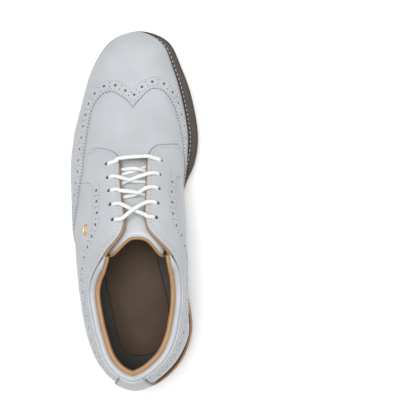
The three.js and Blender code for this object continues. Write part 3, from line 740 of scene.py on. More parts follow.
# ------------------------------------------------------------------ decoration along an edge
TOP = 1.35  # thickness of an overlay of leather
CUT = (-0.6, 3)  # how far in and out a cutter reaches
STITCH = capsule(2.1, 0.27)
# the dark discs under the holes are painted shade, standing in for the shadow inside each perforation
BIG, HOLE_SHADE = prism(disc(1.2, 14), *CUT), prism(disc(1.35, 12), -0.05, 1.15)
SMALL, SMALL_HOLE_SHADE = prism(disc(0.6, 8), *CUT), prism(disc(0.72, 8), -0.05, 1.1)
NOTCH = prism([(0, -0.35), (1.25, 1.2), (1.25, -1.6), (-1.25, -1.6), (-1.25, 1.2)], *CUT)


def spaced(path, pitch, margin=0.0):
    """Distances along a line, evenly spaced between margins at its ends."""
    span = path.length - 2 * margin
    count = max(1, int(round(span / pitch)))
    return margin + (np.arange(count) + 0.5) * span / count


stitch_soup, hole_shade_soup, shade_line_soup = Soup(), Soup(), Soup()


def stitches(path, height, pitch=2.9, template=STITCH):
    if path.length < 6:
        return
    p, t, n = path.at(spaced(path, pitch, 1.0))
    stitch_soup.placed(*template, p + n * height, t, n)


def ribbon(path, height, half=0.26, shift=0.0):
    """A thin flat dark line on the surface, painted shade: the shadow along the edge of an overlay, or the
    shade of the groove that a seam pulls.
    """
    if len(path.s) < 4:
        return
    shade_line_soup.add(*sweep(path.p + path.n * height + path.b * shift, path.b, path.n, (half, 0.05), 4))


def seam(path, height):
    # a dark line of painted shade under the stitches, for the shade of the seam's groove
    ribbon(path, height + 0.01)
    stitches(path, height)


def perforate(cutters, path, margin, gap=1.7):
    """One large hole, then two small ones side by side, along a line; a dark disc of painted shade sits under
    each hole.
    """
    s = spaced(path, 9.6, margin)
    p, t, n = path.at(s)
    cutters.placed(*BIG, p, t, n)
    hole_shade_soup.placed(*HOLE_SHADE, p, t, n)
    p, t, n = path.at((s[1:] + s[:-1]) / 2)
    b = np.cross(n, t)
    for side in (-gap, gap):
        cutters.placed(*SMALL, p + b * side, t, n)
        hole_shade_soup.placed(*SMALL_HOLE_SHADE, p + b * side, t, n)


def pinked(cutters, path, flip=False):
    """Saw-tooth notches along an edge."""
    p, t, n = path.at(spaced(path, 2.8))
    cutters.placed(*NOTCH, p, -t if flip else t, n)


# ------------------------------------------------------------------ vamp and wing tip
STATIONS = np.concatenate([np.arange(43, 60, 1.6), np.linspace(60, 73.9, 12)])
LATERAL = side_u(STATIONS, 1.5, 11)
MEDIAL = side_u(STATIONS, 24.5, 13)[::-1]
TOE = np.linspace(LATERAL[-1], MEDIAL[0], 90)[1:-1]
OPEN_START, OPEN_END = LATERAL[0], MEDIAL[-1]
SEAM_LATERAL, SEAM_MEDIAL = 6.58, 17.87  # where the vamp and the quarters meet


def tuck(depth):
    """Leather drawn in to the seam at its lower edge."""
    return lambda u, v, low, high: -depth * np.clip(1 - low / 4.5, 0, 1) ** 2


def ridge_panel(us, high, inner, outer, shift, step=1.7):
    """A panel over the ridge, where its two sides meet; columns that end lower share the others' rows."""
    us = np.asarray(us, float)
    t = np.concatenate([[0, 0.003, 0.008, 0.015], np.linspace(0.025, 1, int(95 / step))])
    v = np.minimum(-0.012 + 1.012 * t[None, :], high(us)[:, None])
    u = np.broadcast_to(us[:, None], v.shape)
    base, n = bare(u, v), normal(u, v)
    rise = np.linalg.norm(np.diff(base, axis=1), axis=2).cumsum(axis=1)
    rise = np.concatenate([np.zeros((len(us), 1)), rise], axis=1)
    extra = shift(u, v, rise, rise)
    verts, faces = shell(base, n, outer + extra, inner + extra)
    count, rows = v.size, v.shape[1]
    flat = v.ravel()
    ridge = lambda i: i % rows == rows - 1 and flat[i] > 0.999
    across = lambda face: max(face) >= count > min(face)
    return verts, [f for f in faces if not (across(f) and all(ridge(i % count) for i in f))]


def vamp_high(u):
    return np.where((u >= OPEN_START - 1e-9) & (u <= OPEN_END + 1e-9), 1.0, facing_edge(u) + 0.07)


def vamp_columns(start, end):
    before = np.concatenate([np.linspace(start, OPEN_START - 0.06, 8), [OPEN_START - 0.02]])
    after = np.concatenate([[OPEN_END + 0.02], np.linspace(OPEN_END + 0.06, end, 12)])
    return np.concatenate([before, LATERAL, TOE, MEDIAL, after])


under = lambda u: np.full(np.shape(u), -0.012)
us = vamp_columns(SEAM_LATERAL, SEAM_MEDIAL)
verts, faces = ridge_panel(us, vamp_high, -1.2, 0.0, tuck(1.2))
build("vamp_skin", verts, faces, WHITE, replaces=["vamp"], merge=0.02)
verts, faces = ridge_panel(us, vamp_high, -4.0, -3.1, tuck(0.5), step=3.5)
build("vamp_lining_skin", verts, faces, TAN, replaces=["vamp_lining"], merge=0.02)

us = columns(4.62, 19.45, 1.5)
verts, faces = panel(us, under, wing_edge, 0.03, TOP, step=1.5, edge=0.55, shift=tuck(1.2))
wing = build("wing_tip_skin", verts, faces, WHITE, replaces=["wing_tip"])
line = np.linspace(4.9, 19.2, 1600)
edge = Path(line, wing_edge(line))
cutters = Soup()
pinked(cutters, edge)
perforate(cutters, edge.inset(6.0), 3)
subtract(wing, cutters)
finish_piece(wing, WHITE, "shoe", ["wing_tip"])
seam(edge.inset(2.5), TOP)
seam(edge.inset(9.7), TOP)
# painted shade along the wing's edge, which also shows dark through the notches as their shadow
ribbon(edge, 0.06, 0.75, 0.55)

# ------------------------------------------------------------------ quarters, facings and back strap
quarter_top = lambda u: np.minimum(facing_edge(u) + 0.07, topline(u) - 0.02)
for name, ends in (("lateral", (0.01, SEAM_LATERAL - 0.004)), ("medial", (SEAM_MEDIAL + 0.004, 25.99))):
    us = columns(*ends, 2.2)
    verts, faces = panel(us, under, quarter_top, -1.2, 0.0, step=2.2, edge=0.12, shift=tuck(1.2))
    build(f"quarter_{name}_skin", verts, faces, WHITE, replaces=[f"quarter_{name}"])

EYELET = prism([(x * 0.85, y * 1.1 - 1.3) for x, y in disc(1.65, 20)], -2.5, 4)


def eyelet_cutters(spots, template=EYELET):
    soup = Soup()
    u, v = np.array(spots).T
    n = normal(u, v)
    t = unit(bare(u + 0.02, v) - bare(u - 0.02, v))
    t = unit(t - n * (t * n).sum(-1, keepdims=True))
    soup.placed(*template, bare(u, v), t, n)
    return soup


def facing(name, start, end, spots, throat, tab):
    us = columns(start, end, 1.4)
    verts, faces = panel(us, facing_edge, topline, 0.03, TOP, step=1.4, edge=0.55)
    piece = build(f"facing_{name}_skin", verts, faces, WHITE)
    cutters = eyelet_cutters(spots)
    first, last = (1.2, 6.5) if name == "lateral" else (17.95, 24.8)
    line = np.linspace(first, last, 900)
    edge = Path(line, facing_edge(line))
    perforate(cutters, edge.inset(-4.6), 2, gap=1.5)
    subtract(piece, cutters)
    finish_piece(piece, WHITE, "shoe", [f"facing_{name}"])
    seam(edge.inset(-1.5), TOP)
    seam(edge.inset(-7.7), TOP)
    ribbon(edge, 0.06, 0.5, -0.25)
    line = np.linspace(*throat, 500)
    rim = Path(line, topline(line))
    seam(rim.inset(3.1), TOP)
    line = np.linspace(*((1.2, 4.7) if name == "lateral" else (20.3, 24.8)), 500)
    seam(Path(line, topline(line)).inset(3.2), TOP)
    front = Path(*tab.T)
    seam(front.inset(2.6), TOP)
    ribbon(front, 0.06, 0.5, -0.75)
    return rim, front


LATERAL_TAB = smooth_line([(7.1, 0.861), (7.3, 0.835), (7.44, 0.76), (7.5, 0.66), (7.47, 0.575)], 12)
MEDIAL_TAB = smooth_line([(16.56, 0.45), (16.6, 0.62), (16.68, 0.757), (16.91, 0.822), (17.25, 0.856)], 12)
lateral_rim, lateral_front = facing("lateral", 1.05, 7.5, EYELETS_LATERAL, (4.98, 7.1), LATERAL_TAB)
medial_rim, medial_front = facing("medial", 16.6, 24.95, EYELETS_MEDIAL, (17.25, 20.1), MEDIAL_TAB)

for name, rim in (("lateral", lateral_rim), ("medial", medial_rim)):
    centre = rim.p + rim.n * 0.35 + rim.b * 0.85
    verts, faces = sweep(centre, rim.b, rim.n, (1.0, 1.25), 14)
    build(f"throat_roll_{name}", verts, faces, BINDING, sharp=60)
    centre = rim.p - rim.n * 2.3 + rim.b * 0.1
    verts, faces = sweep(centre, rim.b, rim.n, (0.7, 1.4), 12, shape=0.8)
    build(f"throat_lining_edge_{name}", verts, faces, TAN, sharp=60)
for name, front in (("lateral", lateral_front), ("medial", medial_front)):
    verts, faces = sweep(front.p + front.n * 0.65 + front.b * 0.5, front.b, front.n, (1.0, 1.0), 12)
    build(f"tab_roll_{name}", verts, faces, BINDING, sharp=60)

feather = lambda u: np.zeros(np.shape(u))
STRAP_HALF, STRAP_TOP = 1.02, TOP + 0.25
us = columns(-STRAP_HALF, STRAP_HALF, 1.4)
verts, faces = panel(us, feather, topline, 0.05, STRAP_TOP, step=1.5, edge=0.55, shift=tuck(0.8))
strap = build("back_strap_skin", verts, faces, WHITE)
cutters = Soup()
for side in (1, -1):
    u = -side * STRAP_HALF
    edge = Path(np.full(200, u), np.linspace(0.02, float(topline(u)), 200))
    pinked(cutters, edge, flip=side > 0)
    seam(edge.inset(2.4 * side), STRAP_TOP)
    ribbon(edge, TOP + 0.1, 0.7, 0.35 * side)
subtract(strap, cutters)
finish_piece(strap, WHITE, "shoe", ["back_strap"])


# ------------------------------------------------------------------ linings and collar
def lining_high(u):
    """Just over the topline round the collar, and under it along the throat."""
    throat = np.clip(np.minimum(wrap(u) - 4.7, 20.3 - wrap(u)) / 0.4, 0, 1)
    return topline(u) + 0.015 - 0.035 * throat


def swell(u, v, low, high):
    """The padding behind the collar lining, fuller along the sides than at the back."""
    turn = np.abs(np.where(u > 13, u - 26, u))
    full = 4.6 + 1.6 * np.clip((turn - 0.8) / 1.4, 0, 1)
    crest = np.sin(np.clip(high / 5, 0, 1) * np.pi / 2) * np.exp(-((np.maximum(high - 5, 0) / 10) ** 2))
    return -full * crest * np.clip((4.9 - turn) / 0.8, 0, 1)


for name, us, spots in (
    ("quarter_lining_lateral", columns(3.1, SEAM_LATERAL - 0.02, 2.2), EYELETS_LATERAL),
    ("quarter_lining_medial", columns(SEAM_MEDIAL + 0.02, 22.7, 2.2), EYELETS_MEDIAL),
    ("heel_lining", columns(-3.27, 3.07, 2.2), []),
):
    verts, faces = panel(us, feather, lining_high, -4.1, -2.9, step=2.2, edge=0.3, shift=swell)
    piece = build(f"{name}_skin", verts, faces, TAN)
    if spots:
        deep = prism(disc(2.1, 16), -7, 1)
        within = [spot for spot in spots if us[0] + 0.1 < spot[0] < us[-1] - 0.1]
        subtract(piece, eyelet_cutters(within, deep))
    finish_piece(piece, TAN, "shoe", [name])

line = np.linspace(-5.9, 5.02, 700)
collar = Path(line, topline(line), 1.0)
fade = np.clip(np.minimum(collar.s, collar.length - collar.s) / 9, 0.25, 1) ** 0.6
centre = collar.p - collar.n * 1.7 - collar.b * 1.9 * fade[:, None]
radii = np.stack([2.1 * fade, 2.4 * fade], axis=1)
verts, faces = sweep(centre, collar.b, collar.n, radii, 20)
stands_for = ["collar_binding"]
roll = build("collar_roll", verts, faces, BINDING, replaces=stands_for, sharp=60)

within = np.clip(np.minimum(collar.s, collar.length - collar.s) / 14, 0, 1) ** 0.7
middle = collar.p - collar.n * (4.6 + 1.2 * within)[:, None] + collar.b * (1.2 - 1.6 * within)[:, None]
radii = np.stack([3.0 + 1.6 * within, 1.5 + 1.1 * within], axis=1)
verts, faces = sweep(middle, collar.b, collar.n, radii, 20)
build("collar_lining_roll", verts, faces, TAN, sharp=60)

# ------------------------------------------------------------------ tongue
TONGUE_REAR = -16.5


def tongue_grid(rows, side_count):
    s = np.linspace(-1, 1, side_count)
    rows = np.asarray(rows, float)[:, None]
    flare = np.sin(np.pi / 2 * np.abs(s) ** 1.3) ** 2
    y = rows - 17 * np.clip(1 - (rows - TONGUE_REAR) / 26, 0, 1) ** 2 * flare[None, :]
    flat = y.ravel()
    lateral = side_u(flat, 1.5, 11).reshape(y.shape)
    medial = side_u(flat, 24.5, 13).reshape(y.shape)
    u = np.where(s[None, :] < 0, lateral, medial)
    low = np.where(s[None, :] < 0, 0.635, 0.615)
    v = np.broadcast_to(1 - np.abs(s[None, :]) * (1 - low), y.shape)
    return u, v, np.broadcast_to(s[None, :], y.shape)


rear_rows = TONGUE_REAR + np.array([0, 0.2, 0.6, 1.2])
tongue_rows = np.concatenate([rear_rows, np.arange(TONGUE_REAR + 2, 53, 1.6)])
u, v, s = tongue_grid(tongue_rows, 61)
base, n = bare(u, v), normal(u, v)
from_rear = (tongue_rows - TONGUE_REAR)[:, None]
edge_drop = 1.6 * np.clip(1 - (1 - np.abs(s)) / 0.12, 0, 1) ** 2
edge_drop = edge_drop + 1.5 * np.clip(1 - from_rear / 3.0, 0, 1) ** 2
puff = 0.8 * (1 - s**2) + 0.5 * np.clip(from_rear / 10, 0, 1) * (1 - s**4)
verts, faces = shell(base, n, -9.1 + puff - edge_drop, np.full(v.shape, -12.0))
stands_for = ["tongue_outer", "tongue_foam"]
pad = build("tongue_pad", verts, faces, WHITE, "tongue", stands_for, merge=0.005)
verts, faces = shell(base, n, np.full(v.shape, -12.1), np.full(v.shape, -13.0))
build("tongue_lining_skin", verts, faces, TAN, "tongue", ["tongue_lining"], merge=0.005)
arch = (base - n * 11.1)[0]
out, tangent = n[0], unit(np.gradient(arch, axis=0))
side = np.cross(out, tangent)
forwards = np.where(side[:, 1] > 0, 1, -1)[:, None]
verts, faces = sweep(arch - side * 0.9 * forwards, side, np.cross(tangent, side), (0.95, 1.6), 14)
build("tongue_edge_roll", verts, faces, TAN, "tongue", sharp=60)


# ------------------------------------------------------------------ lace
def lace_route(lateral, medial):
    under, over = -6.6, 4.0

    def on(u, v, h):
        return surface(np.array(u, float), np.array(v, float), h)

    def middle(a, b, h):
        return (on(a[0], 0.97, h) + on(b[0], 0.97, h)) / 2

    def rim(spot, following, h, part):
        w = spot[0] + (following - spot[0]) * part
        return on(w, float(topline(w)) + (0.015 if h > 0 else -0.02), h)

    def half(first, second, heights):
        sides = [first, second]
        front = [s[0][0] + (0.10 if s[0][0] < 12 else -0.09) for s in (first, second)]
        path = [middle([front[0]], [front[1]], over + 0.2)]
        path.append(on(front[0], 0.87, over - 0.3))
        path.append(on((front[0] + first[0][0]) / 2, first[0][1] + 0.07, over - 0.7))
        path += [on(*first[0], 2.2), on(*first[0], -0.8), on(*first[0], -4.2)]
        for i in range(1, 5):
            here, there = sides[(i + 1) % 2], sides[i % 2]
            start, to = here[i - 1], there[i]
            drop = under if i == 1 else over - 0.6
            path.append(on(start[0], start[1] + 0.05, drop))
            path.append(rim(start, here[i][0], drop, 0.1))
            share = {1: 0.45, 4: 0.12}.get(i, 0.75)
            leave = start[0] + (here[i][0] - start[0]) * 0.1
            land = to[0] + (there[i - 1][0] - to[0]) * share
            path.append(middle([leave], [land], heights[i - 1]))
            landing = over - 0.6 if i == 4 else under
            path.append(rim(to, there[i - 1][0], landing, share))
            path.append(on(to[0], to[1] + 0.05, landing))
            path += [on(*to, h) for h in ((2.2, -0.8, -4.2) if i == 4 else (-4.2, -0.8, 2.2))]
        u, v = sides[0][4]
        sign = -1 if u < 12 else 1
        return path + [on(u + sign * 0.12, v - 0.03, under), on(u + sign * 0.3, v - 0.07, under)]

    a = half(lateral, medial, [-2.6, 0.6, 0.6, 5.6])
    b = half(medial, lateral, [-6.4, -3.4, -3.4, 1.8])
    return np.array(a[1:][::-1] + b)


def carried_frames(points):
    """Side and out directions carried along a line without twist."""
    tangent = unit(np.gradient(points, axis=0))
    side = np.empty_like(points)
    s = np.array([0.0, 0.0, 1.0])
    for i, t in enumerate(tangent):
        s = s - t * (s @ t)
        s = s / np.linalg.norm(s)
        side[i] = s
    return side, np.cross(tangent, side)


inward = lambda spots: [(u, v + 0.044) for u, v in spots]
route = smooth_line(lace_route(inward(EYELETS_LATERAL), inward(EYELETS_MEDIAL)), 10)
steps = travelled(route)
LACE_LENGTH = steps[-1]
at = np.linspace(0, LACE_LENGTH, int(LACE_LENGTH / 0.55))
route = along(at, steps, route)
SIDES = 16
verts, faces = sweep(route, *carried_frames(route), (1.55, 1.5), SIDES)
lace = build("lace_cord", verts, faces, LACE, replaces=["lace"], sharp=0)
braid = lace.data.attributes.new("braid", "FLOAT_VECTOR", "POINT")
around = np.tile(np.arange(SIDES) * 2 * np.pi / SIDES * 8, len(route))
lengthwise = np.repeat(at * 2 * np.pi / 1.5, SIDES)
weave = np.stack([lengthwise, around, np.zeros(len(around))], axis=1)
braid.data.foreach_set("vector", weave.ravel())
for name, spots in (("aglet_1", EYELETS_LATERAL), ("aglet_2", EYELETS_MEDIAL)):
    u0, v0 = spots[4]
    sign = -1 if u0 < 12 else 1
    at = np.linspace(0.33, 0.62, 12)
    points = surface(u0 + sign * at, v0 - 0.08 - (at - 0.34) * 0.3, np.full(12, -6.6))
    side, out = carried_frames(points)
    taper = np.array([0.75, 1, 1, 1, 1, 1, 1, 1, 1, 0.97, 0.85, 0.5])[:, None] * np.array([[1.25, 1.25]])
    verts, faces = sweep(points, side, out, taper, 16)
    build(f"{name}_tube", verts, faces, CLEAR, replaces=[name], sharp=50)

# ------------------------------------------------------------------ badge
centre_u, centre_v = 5.56, 0.52
p, n = bare([centre_u], [centre_v])[0], normal([centre_u], [centre_v])[0]
t = unit(np.array([0, 1.0, 0]) - n * n[1])
b = np.cross(n, t)
full = lambda c: math.copysign(abs(c) ** 0.8, c)
turns = np.linspace(0, 2 * math.pi, 40, endpoint=False)
outline_points = [(4.6 * full(math.cos(a)), 2.3 * full(math.sin(a))) for a in turns]
rings = [(1.0, 0.0), (1.0, 0.45), (0.93, 0.62), (0.8, 0.62), (0.76, 0.5), (0.5, 0.62), (0.2, 0.75)]
verts = [p + t * (x * k) + b * (y * k) + n * h for k, h in rings for x, y in outline_points]
count = len(outline_points)
faces = [f[::-1] for f in ring_faces(len(rings), count)]
faces += [list(range(count))[::-1], list(range((len(rings) - 1) * count, len(rings) * count))]
build("badge", verts, faces, GOLD, replaces=["emblem"], sharp=30)


# ------------------------------------------------------------------ sole layers
def tips():
    fine = np.linspace(11.4, 12.6, 241)
    toe = fine[np.argmax(outline(fine, 0)[1])]
    fine = np.linspace(-0.6, 0.6, 241)
    return fine[np.argmin(outline(fine, 0)[1])], toe


HEEL_TIP, TOE_TIP = tips()


def u_at(y, start, end):
    """The u on one side where the outline passes y."""
    return halve(lambda u: outline(u, 0)[1], y, start, end)


def slab(profile, floor_z, y_end=None, rows=150, across=16):
    """A sole layer: profile is (inset, height) up the side wall; floor_z gives the base height at y."""
    lowest, highest = outline(HEEL_TIP, 0)[1], outline(TOE_TIP, 0)[1]
    stop = highest if y_end is None else y_end
    t = np.linspace(0, 1, rows)
    if y_end is None:
        y = lowest + (stop - lowest) * (1 - np.cos(np.pi * t)) / 2
    else:
        y = lowest + (stop - lowest) * (1 - np.cos(np.pi * t / 2))
    lateral, medial = u_at(y, HEEL_TIP, TOE_TIP), u_at(y, HEEL_TIP + ROUND, TOE_TIP)
    lateral[0], medial[0] = HEEL_TIP, HEEL_TIP + ROUND
    if y_end is None:
        lateral[-1] = medial[-1] = TOE_TIP
    rings = []
    for k in range(rows):
        sides = []
        for u in (lateral[k], medial[k]):
            wall = []
            for inset, height in profile:
                amount = inset(u) if callable(inset) else inset
                x, yy = outline(u, amount)
                wall.append((float(x), float(yy), float(floor_z(yy) + height)))
            sides.append(wall)
        left, right = np.array(sides[0]), np.array(sides[1])
        blend = np.linspace(0, 1, across)[1:-1, None]
        over_top = left[-1] * (1 - blend) + right[-1] * blend
        beneath = right[0] * (1 - blend) + left[0] * blend
        rings.append(np.concatenate([left, over_top, right[::-1], beneath]))
    size = len(rings[0])
    faces = ring_faces(rows, size)
    if y_end is not None:
        faces.append([(rows - 1) * size + k for k in range(size)][::-1])
    return np.concatenate(rings), faces


def sole_z(y):
    return curve(SOLE, y)


def flat_z(y):
    return np.zeros(np.shape(y))


def ledge(u):
    return ring_rows(np.asarray(u, float))[..., 2]


verts, faces = slab([(2.2, 0), (0.9, 0.25), (0.25, 0.9), (0, 1.8), (0, 3.6), (0.3, 4.2), (0.9, 4.6)], sole_z)
sole = build("outsole_skin", verts, faces, OUTSOLE, merge=0.01)


def sockets(radius, depth, spots):
    """Cutters for the spikes' sockets at spots of (x, y, z)."""
    soup = Soup()
    count = len(spots)
    level, upwards = np.tile([1.0, 0, 0], (count, 1)), np.tile([0, 0, 1.0], (count, 1))
    soup.placed(*prism(disc(radius, 28), -3, depth), np.array(spots, float), level, upwards)
    return soup


HEEL_FRONT = -72  # spikes behind this stand on the heel
LIFT_FACE = 5.0  # height of the top lift's underside
subtract(sole, sockets(8.2, 3.2, [(x, y, sole_z(y)) for x, y in SPIKES if y > HEEL_FRONT]))
finish_piece(sole, OUTSOLE, "shoe", ["outsole"])
verts, faces = slab([(1.6, 4.6), (0.95, 4.8), (0.8, 5.2), (0.8, 8.8), (1.0, 9.2), (1.8, 9.4)], sole_z)
build("midsole_skin", verts, faces, MIDSOLE, replaces=["midsole"], merge=0.01)


def strip(start, end, profile, step=1.5):
    """A strip round the outline; profile is a closed run of (inset, height), insets may follow the ledge."""
    coarse = np.linspace(start, end, 600)
    s = travelled(np.stack(outline(coarse, 0), axis=1))
    u = np.interp(np.linspace(0, s[-1], int(s[-1] / step)), s, coarse)
    wide = ledge(u)
    ring = []
    for inset, height in profile:
        amount = inset(wide) if callable(inset) else np.full(u.shape, float(inset))
        x, y = outline(u, amount)
        ring.append(np.stack([x, y, sole_z(y) + height], axis=1))
    ring = np.stack(ring, axis=1)
    size = len(profile)
    faces = ring_faces(len(u), size)
    last = (len(u) - 1) * size
    faces += [list(range(size)), [last + k for k in range(size)][::-1]]
    return ring.reshape(-1, 3), faces, u


WELT_LOW, WELT_HIGH = 9.3, 12.5


def stitch_inset(wide):
    """How far in from the outline the welt stitches run, on a ledge this wide."""
    return np.maximum(wide * 0.62, 1.7)


def welt_profile(outer):
    """The welt's section: rounded outer edge, a channel for the stitches, and its hidden inner side."""
    low, high = WELT_LOW, WELT_HIGH
    beside = lambda side: lambda wide: stitch_inset(wide) + side
    edge = [(13, low), (outer + 0.8, low), (outer + 0.2, low + 0.2), (outer, low + 0.6), (outer, high - 0.8)]
    edge += [(outer + 0.25, high - 0.25), (outer + 0.8, high)]
    channel = [(beside(-0.55), high), (beside(-0.3), high - 0.4)]
    channel += [(beside(0.3), high - 0.4), (beside(0.55), high)]
    return edge + channel + [(13, high)]


def outline_path(u, inset, height):
    x, y = outline(u, inset)
    p = np.stack([x, y, sole_z(y) + height], axis=1)
    path = Path.__new__(Path)
    path.s = travelled(p)
    path.length, path.p = path.s[-1], p
    path.t, path.n = unit(np.gradient(p, axis=0)), np.tile([0, 0, 1.0], (len(u), 1))
    return path


WELT_STITCH = capsule(2.7, 0.42, sink=0.35)
verts, faces, u = strip(4.35, 20.9, welt_profile(0.3))
build("welt_skin", verts, faces, WELT, replaces=["welt"])
path = outline_path(u, stitch_inset(ledge(u)), WELT_HIGH - 0.3)
stitches(path, 0.0, 3.9, WELT_STITCH)
verts, faces, _ = strip(21, 30.25, welt_profile(1.5))
build("heel_rand_skin", verts, faces, WELT, replaces=["heel_rand"])

# The edge of the lower sole shows beyond the rand round the heel.
rim = [(8, 9.3), (0.2, 9.3), (-0.1, 9.6), (-0.1, 9.9), (0.3, 10.3), (1.2, 10.5), (8, 10.5)]
verts, faces, _ = strip(21, 30.25, rim)
build("heel_ledge", verts, faces, HEEL)

groove = []
for base in (9.3, 12.6, 15.9):
    groove += [(0.6, base + 0.25), (0.6, base + 3.05), (0.85, base + 3.2)]
verts, faces = slab([(0.9, 9.15)] + groove + [(0.6, 19.2)], flat_z, y_end=-74, rows=90, across=8)
build("heel_stack_skin", verts, faces, HEEL, replaces=["heel_block"], merge=0.01)
wall = [(2.6, LIFT_FACE), (1.6, 5.25), (1.2, 5.8), (1.0, 8.7), (1.3, 9.1)]
verts, faces = slab(wall, flat_z, y_end=-74.6, rows=90, across=12)
lift = build("top_lift_skin", verts, faces, LIFT, merge=0.01)
subtract(lift, sockets(7.6, 3.0, [(x, y, LIFT_FACE) for x, y in SPIKES if y < HEEL_FRONT]))
finish_piece(lift, LIFT, "shoe", ["heel_top_lift"])

# ------------------------------------------------------------------ tread under the sole
tread = Soup()
stud = []
for r, h in ((2.1, 0.3), (1.9, -0.9), (1.5, -1.2)):
    stud += [(x, y, h) for x, y in disc(r, 6)]
stud_faces = ring_faces(3, 6) + [[0, 1, 2, 3, 4, 5], [17, 16, 15, 14, 13, 12]]


def clear_of_spikes(x, y, gap):
    return all(math.hypot(x - a, y - b) > gap for a, b in SPIKES)


for row, y in enumerate(np.arange(-36, 146, 6.4)):
    sides = [u_at(np.array([y]), start, TOE_TIP)[0] for start in (HEEL_TIP, HEEL_TIP + ROUND)]
    width = [float(outline(u, 7.0)[0]) for u in sides]
    for x in np.arange(-60, 60, 7.4) + (row % 2) * 3.7:
        if width[0] < x < width[1] and clear_of_spikes(x, y, 14.5):
            tread.add(np.array(stud) + [x, y, float(sole_z(y))], stud_faces)
for a in np.arange(0.3, 25.9, 0.42):
    x, y = outline(a, 5.0)
    if y < -80 and clear_of_spikes(x, y, 13.5):
        tread.add(np.array(stud) * [1, 1, 0.7] + [float(x), float(y), LIFT_FACE], stud_faces)
build("tread_studs", np.concatenate(tread.verts), tread.faces, OUTSOLE, sharp=30)


# ------------------------------------------------------------------ spikes
def lathe(profile, sides=48):
    verts = [(x, y, z) for r, z in profile for x, y in disc(r, sides)]
    return np.array(verts, float), ring_faces(len(profile), sides)


def spike_mesh():
    soup = Soup()
    hub = [(0.01, 3.0), (4.0, 3.0), (4.2, 2.8), (4.2, -0.3), (10.4, -0.3), (11, -0.7), (10.9, -1.2)]
    hub += [(10.2, -1.6), (6.6, -2.0), (6.2, -2.5), (4.6, -2.8), (4.2, -2.4), (2.2, -2.2)]
    hub += [(1.9, -2.7), (0.01, -2.8)]
    soup.add(*lathe(hub))
    for k in range(8):
        a = 2 * math.pi * k / 8
        out = np.array([math.cos(a), math.sin(a), 0.0])
        way = np.array([-math.sin(a), math.cos(a), 0.0])
        claw = ((6.4, -1.4), (8.2, -2.6), (9.3, -4.2), (9.7, -5.1))
        line = smooth_line([out * r + [0, 0, z] for r, z in claw], 5)
        size = np.interp(np.arange(len(line)), [0, len(line) - 3, len(line) - 1], [1.0, 0.62, 0.35])
        tangent = unit(np.gradient(line, axis=0))
        side = np.tile(way, (len(line), 1))
        radii = np.stack([1.9 * size, size], axis=1)
        soup.add(*sweep(line, side, np.cross(tangent, side), radii, 12, shape=0.75))
    for k in range(3):
        a = 2 * math.pi * k / 3 + 0.3
        x, y = 3.2 * math.cos(a), 3.2 * math.sin(a)
        verts, faces = lathe([(0.95, -2.0), (0.95, -2.75), (0.6, -2.9), (0.01, -2.9)], 12)
        soup.add(verts + [x, y, 0], faces)
    mesh = soup_mesh("spike_shape", soup)
    mesh.shade_smooth()
    mesh.set_sharp_from_angle(angle=math.radians(38))
    mesh.materials.append(SPIKE)
    return mesh


shape = spike_mesh()
for number, (x, y) in enumerate(SPIKES, 1):
    heel = y < HEEL_FRONT
    obj = linked(f"spike_{number}_cleat", shape)
    tilt = 0 if heel else math.atan(float(sole_z(y + 0.5) - sole_z(y - 0.5)))
    obj.location = (x * MM, y * MM, (LIFT_FACE if heel else float(sole_z(y))) * MM)
    obj.rotation_euler = (tilt, 0, 0)
    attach(obj, f"spike_body_{number}")
    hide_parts(f"spike_{number}")

# ------------------------------------------------------------------ footbed
inner = lambda extra: lambda u: float(ledge(u)) + extra
CUP_WALL = [(7.5, 13.1), (5.6, 14.2), (5.0, 18.2), (5.3, 19.6), (6.2, 20.0), (8.5, 18.6), (12, 17.5)]
verts, faces = slab([(inner(extra), height) for extra, height in CUP_WALL], sole_z, across=12)
bed = build("footbed_cup", verts, faces, FOAM, replaces=["footbed_foam"], merge=0.01)

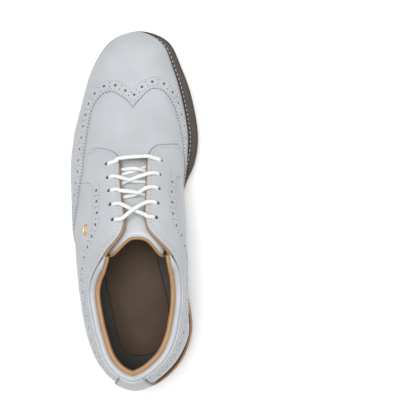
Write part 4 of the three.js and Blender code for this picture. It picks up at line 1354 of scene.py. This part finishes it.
COVER_REAR = -121
COVER_LEFT = [[COVER_REAR, 2], [-119.5, -4], [-116, -8.5], [-110, -12], [-98, -15.2], [-86, -17.5]]
COVER_LEFT += [[-64, -22.5], [-42, -26.5], [0, -31], [40, -38], [80, -36], [120, -22]]
COVER_RIGHT = [[COVER_REAR, 6], [-120, 12], [-118.5, 18], [-114, 23], [-104, 27.5], [-90, 30]]
COVER_RIGHT += [[-76, 28.7], [-58, 24], [-41, 20], [0, 22], [40, 32], [80, 36], [120, 27]]
rows = np.concatenate([[COVER_REAR, -120.6, -120, -119], np.arange(-118, 121, 2.5)])
left, right = broken(COVER_LEFT, rows), broken(COVER_RIGHT, rows)
t = np.concatenate([[0, 0.012, 0.03], np.linspace(0.06, 0.94, 30), [0.97, 0.988, 1]])
x = left[:, None] + (right - left)[:, None] * t
y = np.broadcast_to(rows[:, None], x.shape)
away = np.minimum(np.minimum(x - left[:, None], right[:, None] - x), y - COVER_REAR)
drop = 0.5 - np.sqrt(np.maximum(0, 0.25 - (0.5 - np.minimum(away, 0.5)) ** 2))
heel_dish = 1.0 * np.clip(((x - 6) ** 2 + (y + 80) ** 2) / 1600, 0, 1)
z = sole_z(y) + 17.9 + heel_dish * np.clip((-y - 30) / 40, 0, 1)
top = np.stack([x, y, z + 0.9 - drop], axis=-1)
low = np.stack([x, y, z - 0.6], axis=-1)
verts = np.concatenate([top.reshape(-1, 3), low.reshape(-1, 3)])
faces = [f[::-1] for f in shell_faces(len(rows), len(t))]
stands_for = ["footbed_cover"]
build("footbed_cover_skin", verts, faces, COVER, replaces=stands_for, merge=0.001)

# ------------------------------------------------------------------ gathered stitches, painted shade lines and painted shade under the perforations
for name, soup, material, slot, sharp in (
    ("stitching", stitch_soup, THREAD, "lace_white", 0),
    ("painted_shade_lines", shade_line_soup, PAINTED_LINE_SHADE, "leather_white", 0),
    # dark lines of painted shade along overlay edges and seams
    ("perforation_painted_shade", hole_shade_soup, SHADE, "leather_white", 30),
# dark discs of painted shade under the perforations
):
    build(name, np.concatenate(soup.verts), soup.faces, material, sharp=sharp)

# ------------------------------------------------------------------ CAD nodes that stay in view
KEPT = {
    "insole_board": BOARD,
    "forefoot_filler": CORK,
    "shank": STEEL,
    "toe_puff": STIFF,
    "heel_counter": STIFF,
    "eyestay_tape_lateral": STIFF,
    "eyestay_tape_medial": STIFF,
    "collar_foam": SOFT,
}
for number in range(1, len(SPIKES) + 1):
    KEPT[f"spike_receptacle_{number}"] = CUP
for name, material in KEPT.items():
    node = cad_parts[name]
    node.data.materials.clear()
    node.data.materials.append(material)
